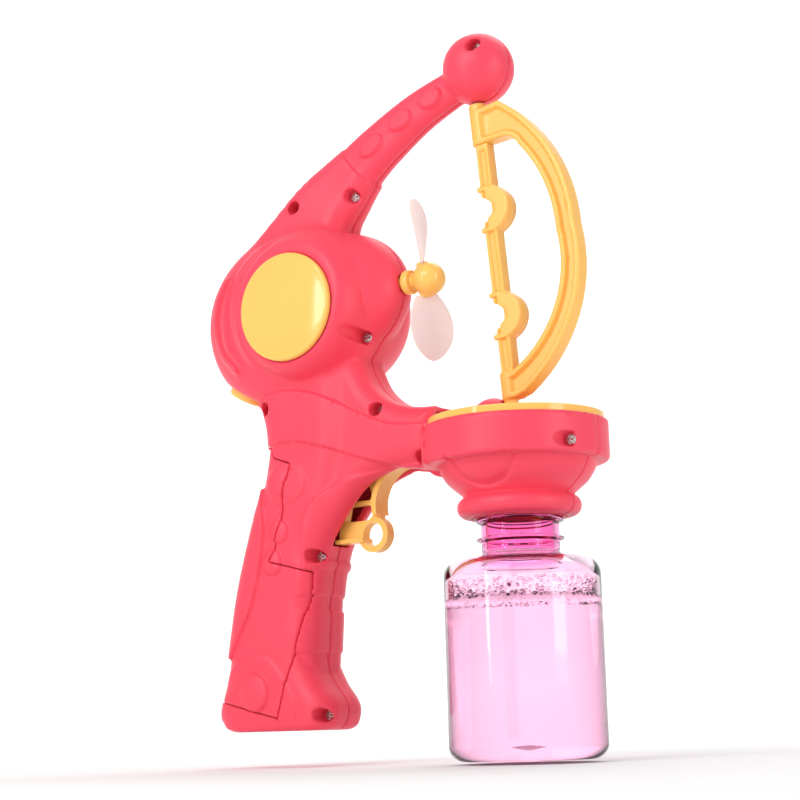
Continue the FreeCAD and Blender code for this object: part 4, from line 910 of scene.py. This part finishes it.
def liquid_profile():
    """The solution, which reaches a little into the wall so that no gap shows between them."""
    r = BOTTLE_R - BOTTLE_WALL + 0.25
    return trace([(0.0, 5.3), ((6.3, 4.3), (12.9, 1.0)), (20.4, 1.0), ((23.2, 2.1), (r, 5.0)),
        (r, LIQUID_TOP + 0.4), (22.6, LIQUID_TOP), (0.0, LIQUID_TOP)], 10)


def add_bubble(points, faces, centre, size):
    """A small ball of five bands and seven slices."""
    bands, slices = 5, 7
    first = len(points)
    points.append(centre + size * UP)
    for band in range(1, bands):
        down = math.pi * band / bands
        for piece in range(slices):
            turn = 2.0 * math.pi * piece / slices
            spot = Vector((math.sin(down) * math.cos(turn), math.sin(down) * math.sin(turn),
                math.cos(down)))
            points.append(centre + size * spot)
    points.append(centre - size * UP)
    last = len(points) - 1
    for piece in range(slices):
        following = (piece + 1) % slices
        faces.append((first, first + 1 + piece, first + 1 + following))
        for a in range(first + 1, last - slices, slices):
            faces.append((a + piece, a + slices + piece, a + slices + following, a + following))
        faces.append((last - slices + piece, last, last - slices + following))


def foam_bubbles():
    """A raft of fine bubbles on the liquid: two in three cling to the wall, the others lie anywhere."""
    chance = random.Random(7)
    points = []
    faces = []
    for number in range(BUBBLES):
        at_wall = number % 3 > 0
        size = BUBBLE_R[0] + (BUBBLE_R[1] - BUBBLE_R[0]) * chance.random() ** 2.0
        angle = chance.uniform(0.0, 2.0 * math.pi)
        edge = BOTTLE_R - BOTTLE_WALL - size - 0.05
        reach = edge if at_wall else edge * math.sqrt(chance.random())
        height = LIQUID_TOP + size * 0.6 + chance.random() ** 1.6 * FOAM_RISE[at_wall]
        add_bubble(points, faces, Vector((reach * math.cos(angle), reach * math.sin(angle), height)), size)
    return add_object("foam_bubbles", points, faces)


# ---- materials ----
class Surface:
    """A node material in the making: its own place in the object drives everything that varies."""

    def __init__(self, name):
        self.material = bpy.data.materials.new(name)
        self.material.use_nodes = True
        self.nodes = self.material.node_tree.nodes
        self.links = self.material.node_tree.links
        self.shader = self.nodes["Principled BSDF"]
        self.place = self.nodes.new("ShaderNodeTexCoord").outputs["Object"]

    def set(self, **values):
        """Sets shader inputs, with _ for the spaces in their names."""
        for name, value in values.items():
            self.shader.inputs[name.replace("_", " ")].default_value = value

    def drive(self, output, name):
        self.links.new(output, self.shader.inputs[name])

    def node(self, kind, *values, **named):
        """A new node; a value that is another node's output is linked, any other is set."""
        node = self.nodes.new("ShaderNode" + kind)
        for key, value in [*enumerate(values), *named.items()]:
            if isinstance(value, bpy.types.NodeSocket):
                self.links.new(value, node.inputs[key])
            else:
                node.inputs[key].default_value = value
        return node

    def noise(self, scale, detail=2.0, place=None):
        return self.node("TexNoise", Scale=scale, Detail=detail, Vector=place or self.place).outputs["Fac"]

    def colour(self, factor, first, second):
        """Between the two colours; the first can be an output of another node."""
        node = self.nodes.new("ShaderNodeMix")
        node.data_type = "RGBA"
        if isinstance(first, tuple):
            node.inputs["A"].default_value = (*first, 1.0)
        else:
            self.links.new(first, node.inputs["A"])
        node.inputs["B"].default_value = (*second, 1.0)
        self.links.new(factor, node.inputs["Factor"])
        return node.outputs["Result"]

    def span(self, value, low, high, side):
        """Remaps a value; low and high are the ends of the side named, From or To."""
        ends = {side + " Min": low, side + " Max": high}
        return self.node("MapRange", Value=value, **ends).outputs["Result"]

    def bump(self, height, strength, distance):
        node = self.node("Bump", Strength=strength, Distance=distance, Height=height)
        self.drive(node.outputs["Normal"], "Normal")


def moulded_plastic(name, colour, shade, rough, grain=900.0, bump=0.04, spread=0.05, sheen=0.0,
        scatter=0.0):
    """Injection-moulded plastic: faint colour drift, uneven gloss and a fine spark-eroded grain."""
    surface = Surface(name)
    drift = surface.noise(28.0, detail=4.0)
    surface.drive(surface.colour(drift, colour, shade), "Base Color")
    surface.drive(surface.span(drift, rough - spread, rough + spread, "To"), "Roughness")
    surface.bump(surface.noise(grain), bump, 0.0002)
    surface.set(IOR=1.46, Sheen_Weight=sheen, Subsurface_Weight=scatter,
        Subsurface_Radius=(1.0, 0.5, 0.4), Subsurface_Scale=0.002)
    return surface


def clear_plastic(name, colour, deep, rough, ior, bump=0.02, neck=None):
    """Tinted clear moulding with slight ripples in its walls and, if asked, a deeper tint in its neck and a
    painted highlight of that tint in the middle of its base.
    """
    surface = Surface(name)
    ripple = surface.noise(40.0)
    tint = surface.colour(ripple, colour, deep)
    if neck:
        tint = neck_tint_and_base_highlight(surface, tint, neck)
    surface.drive(tint, "Base Color")
    surface.bump(ripple, bump, 0.001)
    surface.set(Transmission_Weight=1.0, Roughness=rough, IOR=ior)
    return surface


def neck_tint_and_base_highlight(surface, tint, colour):
    """Deepens a colour in the bottle's neck, where the wall is thick, and paints a highlight of the same
    deep colour in the middle of its base.
    """
    split = surface.node("SeparateXYZ", surface.place)
    flat = surface.node("VectorMath", surface.place, (1.0, 1.0, 0.0))
    flat.operation = "MULTIPLY"
    reach = surface.node("VectorMath", flat.outputs["Vector"])
    reach.operation = "LENGTH"
    neck = surface.span(split.outputs["Z"], 0.064, 0.068, "From")
    # painted highlight: the deep colour laid in the middle of the base
    base = surface.span(reach.outputs["Value"], 0.0105, 0.0085, "From")
    deep = surface.node("Math", neck, base)
    deep.operation = "MAXIMUM"
    return surface.colour(deep.outputs["Value"], tint, colour)


def metal(name, colour, rough):
    """Drawn or plated metal with fine directional streaks."""
    surface = Surface(name)
    scale = surface.node("Mapping", Vector=surface.place, Scale=(40.0, 40.0, 900.0))
    streak = surface.noise(3.0, place=scale.outputs["Vector"])
    surface.drive(surface.span(streak, rough * 0.7, rough * 1.3, "To"), "Roughness")
    surface.drive(surface.colour(streak, colour, tuple(0.8 * c for c in colour)), "Base Color")
    surface.set(Metallic=1.0)
    return surface


def soft_blade(name):
    """Milky flexible plastic that lets light through."""
    surface = moulded_plastic(name, (1.0, 0.95, 0.94), (0.98, 0.93, 0.92), 0.35, grain=500.0, bump=0.03)
    glow = surface.node("BsdfTranslucent", Color=(1.0, 0.96, 0.95, 1.0))
    blend = surface.node("MixShader", 0.45, surface.shader.outputs["BSDF"], glow.outputs["BSDF"])
    surface.links.new(blend.outputs["Shader"], surface.nodes["Material Output"].inputs["Surface"])
    return surface


# colour, the shade it drifts to, roughness, and what else differs from the usual
PLASTICS = {
    "casing_red": ((0.94, 0.062, 0.118), (0.89, 0.052, 0.10), 0.44,
        dict(bump=0.10, sheen=0.06, scatter=0.12)),
    "trim_yellow": ((1.0, 0.58, 0.14), (0.98, 0.54, 0.12), 0.12, dict(bump=0.01, spread=0.03, scatter=0.1)),
    "bow_yellow": ((1.0, 0.56, 0.13), (0.97, 0.52, 0.11), 0.30, dict(scatter=0.12)),
    "gear_white": ((0.82, 0.80, 0.76), (0.76, 0.74, 0.70), 0.4, {}),
    "inner_black": ((0.03, 0.03, 0.032), (0.02, 0.02, 0.022), 0.5, {}),
    "cell_wrap": ((0.06, 0.065, 0.08), (0.04, 0.045, 0.06), 0.25, {})}
# the same for what is clear, with the refractive index behind the roughness
CLEAR = {
    # the bottle's neck colour deepens its neck and is also painted as a highlight in the middle of its base
    "bottle_clear": ((1.0, 0.80, 0.90), (1.0, 0.77, 0.88), 0.0, 1.3,
        dict(bump=0.015, neck=(1.0, 0.36, 0.66))),
    "liquid_pink": ((1.0, 0.86, 0.94), (1.0, 0.84, 0.93), 0.0, 1.33, dict(bump=0.0)),
    "foam_pink": ((1.0, 0.93, 0.97), (1.0, 0.90, 0.95), 0.08, 1.12, dict(bump=0.0)),
    "tube_clear": ((1.0, 0.97, 0.98), (0.99, 0.95, 0.97), 0.0, 1.02, {})}
# the steel is tinted pink: a painted reflection of the red casing round the screw heads
METALS = {"steel": ((0.62, 0.52, 0.52), 0.38), "spring_steel": ((0.75, 0.74, 0.72), 0.2)}


def make_materials():
    """One material for each slot of the part."""
    made = {name: moulded_plastic(name, *values, **more) for name, (*values, more) in PLASTICS.items()}
    made |= {name: clear_plastic(name, *values, **more) for name, (*values, more) in CLEAR.items()}
    made |= {name: metal(name, *values) for name, values in METALS.items()}
    made["blade_soft"] = soft_blade("blade_soft")
    return {name: surface.material for name, surface in made.items()}


# ---- stage ----
# where the object is seen from: turned from behind to its right, a little upwards, and tipped
VIEW_TURN = math.radians(33.826)
VIEW_RISE = math.radians(-10.286)
VIEW_ROLL = math.radians(1.626)
VIEW_FROM = (0.2969, -0.51183, 0.01156)
VIEW_LENS = 81.1215             # mm, on a sensor 36 mm wide
MIDDLE = Vector((-0.045, 0.0, 0.13))   # what the lights face
# level directions: the way the camera looks, and to its right
AHEAD = Vector((-math.sin(VIEW_TURN), math.cos(VIEW_TURN), 0.0))
ASIDE = Vector((math.cos(VIEW_TURN), math.sin(VIEW_TURN), 0.0))


def stage_floor():
    """A pale sheet that runs back and curves up behind the object."""
    profile = trace([(-2.0, -0.001), (1.6, -0.001), ((2.16, 0.231), (2.4, 0.8)), (2.4, 3.0)], 16)
    points = []
    for along, up in profile:
        for side in (-3.0, 3.0):
            points.append((side * ASIDE + along * AHEAD + up * UP) / MM)
    faces = [(2 * k, 2 * k + 1, 2 * k + 3, 2 * k + 2) for k in range(len(profile) - 1)]
    floor = add_object("floor", points, faces)
    paper = Surface("floor_paper")
    paper.drive(paper.colour(paper.noise(6.0), (0.93, 0.93, 0.93), (0.90, 0.90, 0.905)), "Base Color")
    paper.set(Roughness=0.9, Specular_IOR_Level=0.1)
    floor.data.materials.append(paper.material)
    floor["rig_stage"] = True


def view_axes():
    """The camera's own axes: across, upward and back."""
    back = math.sin(VIEW_RISE) * UP - math.cos(VIEW_RISE) * AHEAD
    up = back.cross(ASIDE)
    across = math.cos(VIEW_ROLL) * ASIDE - math.sin(VIEW_ROLL) * up
    upward = math.sin(VIEW_ROLL) * ASIDE + math.cos(VIEW_ROLL) * up
    return across, upward, back


def add_camera():
    data = bpy.data.cameras.new("camera")
    data.sensor_width = 36.0
    data.lens = VIEW_LENS
    camera = link_new("camera", data)
    camera.matrix_world = Matrix.Translation(VIEW_FROM) @ Matrix(view_axes()).transposed().to_4x4()
    bpy.context.scene.camera = camera


def add_light(name, place, aim, size, power):
    """A rectangular lamp; places and sizes are in metres, the power in watts."""
    data = bpy.data.lights.new(name, "AREA")
    data.shape = "RECTANGLE"
    data.size, data.size_y = size
    data.energy = power
    light = link_new(name, data)
    direction = Vector(aim) - Vector(place)
    light.rotation_euler = direction.to_track_quat("-Z", "Y").to_euler()
    light.location = place


def add_lights():
    world = bpy.data.worlds.new("studio")
    bpy.context.scene.world = world
    world.use_nodes = True
    sky = world.node_tree.nodes["Background"]
    sky.inputs["Color"].default_value = (1.0, 1.0, 1.0, 1.0)
    sky.inputs["Strength"].default_value = 0.54
    across, upward, back = view_axes()
    add_light("key", MIDDLE + 0.55 * back - 0.45 * across + 0.55 * upward, MIDDLE, (0.45, 0.45), 2.9)
    add_light("fill", MIDDLE + 0.5 * back + 0.6 * across + 0.1 * upward, MIDDLE, (0.25, 0.7), 2.3)
    add_light("rim", MIDDLE - 0.5 * back + 0.2 * across + 0.6 * upward, MIDDLE, (0.6, 0.4), 1.6)
    # a narrow lamp that gives the yellow discs their upright highlight
    add_light("strip", (-0.228, -0.54, 0.255), (-0.0625, -0.026, 0.157), (0.035, 0.5), 0.7)
    add_light("backdrop", 0.7 * AHEAD + 1.3 * UP, 2.3 * AHEAD + 0.4 * UP, (2.6, 0.6), 34.0)


# ---- putting it together ----
def paint(obj, material):
    obj.data.materials.clear()
    obj.data.materials.append(material)


def keep_node(obj, material):
    """A CAD node that stays in view: its material and soft shading with crisp edges."""
    paint(obj, material)
    obj.data.shade_smooth()
    obj.data.set_sharp_from_angle(angle=math.radians(32.0))


def build_pieces():
    """The built pieces, each under the name of the CAD node that it stands for."""
    return {**build_casing(),
        "shell_screws": build_screws(),
        "bow_arc": build_bow(),
        "bow_bar": build_bar(),
        "fan_hub": build_hub(),
        "fan_blades": build_blades(),
        "left_side_cap": build_cap(1),
        "right_side_cap": build_cap(-1),
        "power_button": build_button(),
        "button_dome": build_dome(),
        "bottle": crease(lathe("bottle_form", bottle_profile())),
        "bubble_liquid": crease(lathe("liquid_form", liquid_profile())),
        "bubble_foam": foam_bubbles()}


def main():
    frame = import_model()
    cad_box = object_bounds()
    add_camera()
    add_lights()
    stage_floor()
    bpy.context.scene.view_settings.view_transform = "Standard"
    materials = make_materials()
    slots = {part["node"]: part["material_slot"] for part in frame["record"]["subparts"]}
    for name, obj in frame["nodes"].items():
        # the socket is seen through the bottle's neck, and is of the casing's plastic there
        keep_node(obj, materials["casing_red" if name == "bottle_socket" else slots[name]])
    pieces = build_pieces()
    for node, piece in pieces.items():
        paint(piece, materials[slots[node]])
        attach(piece, frame["nodes"][node]["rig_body"])
        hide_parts(node)
    squash_dome(pieces["button_dome"])
    boxes = {"cad": cad_box, "visual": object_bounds()}
    {name: [list(corner) for corner in box] for name, box in boxes.items()}


main()
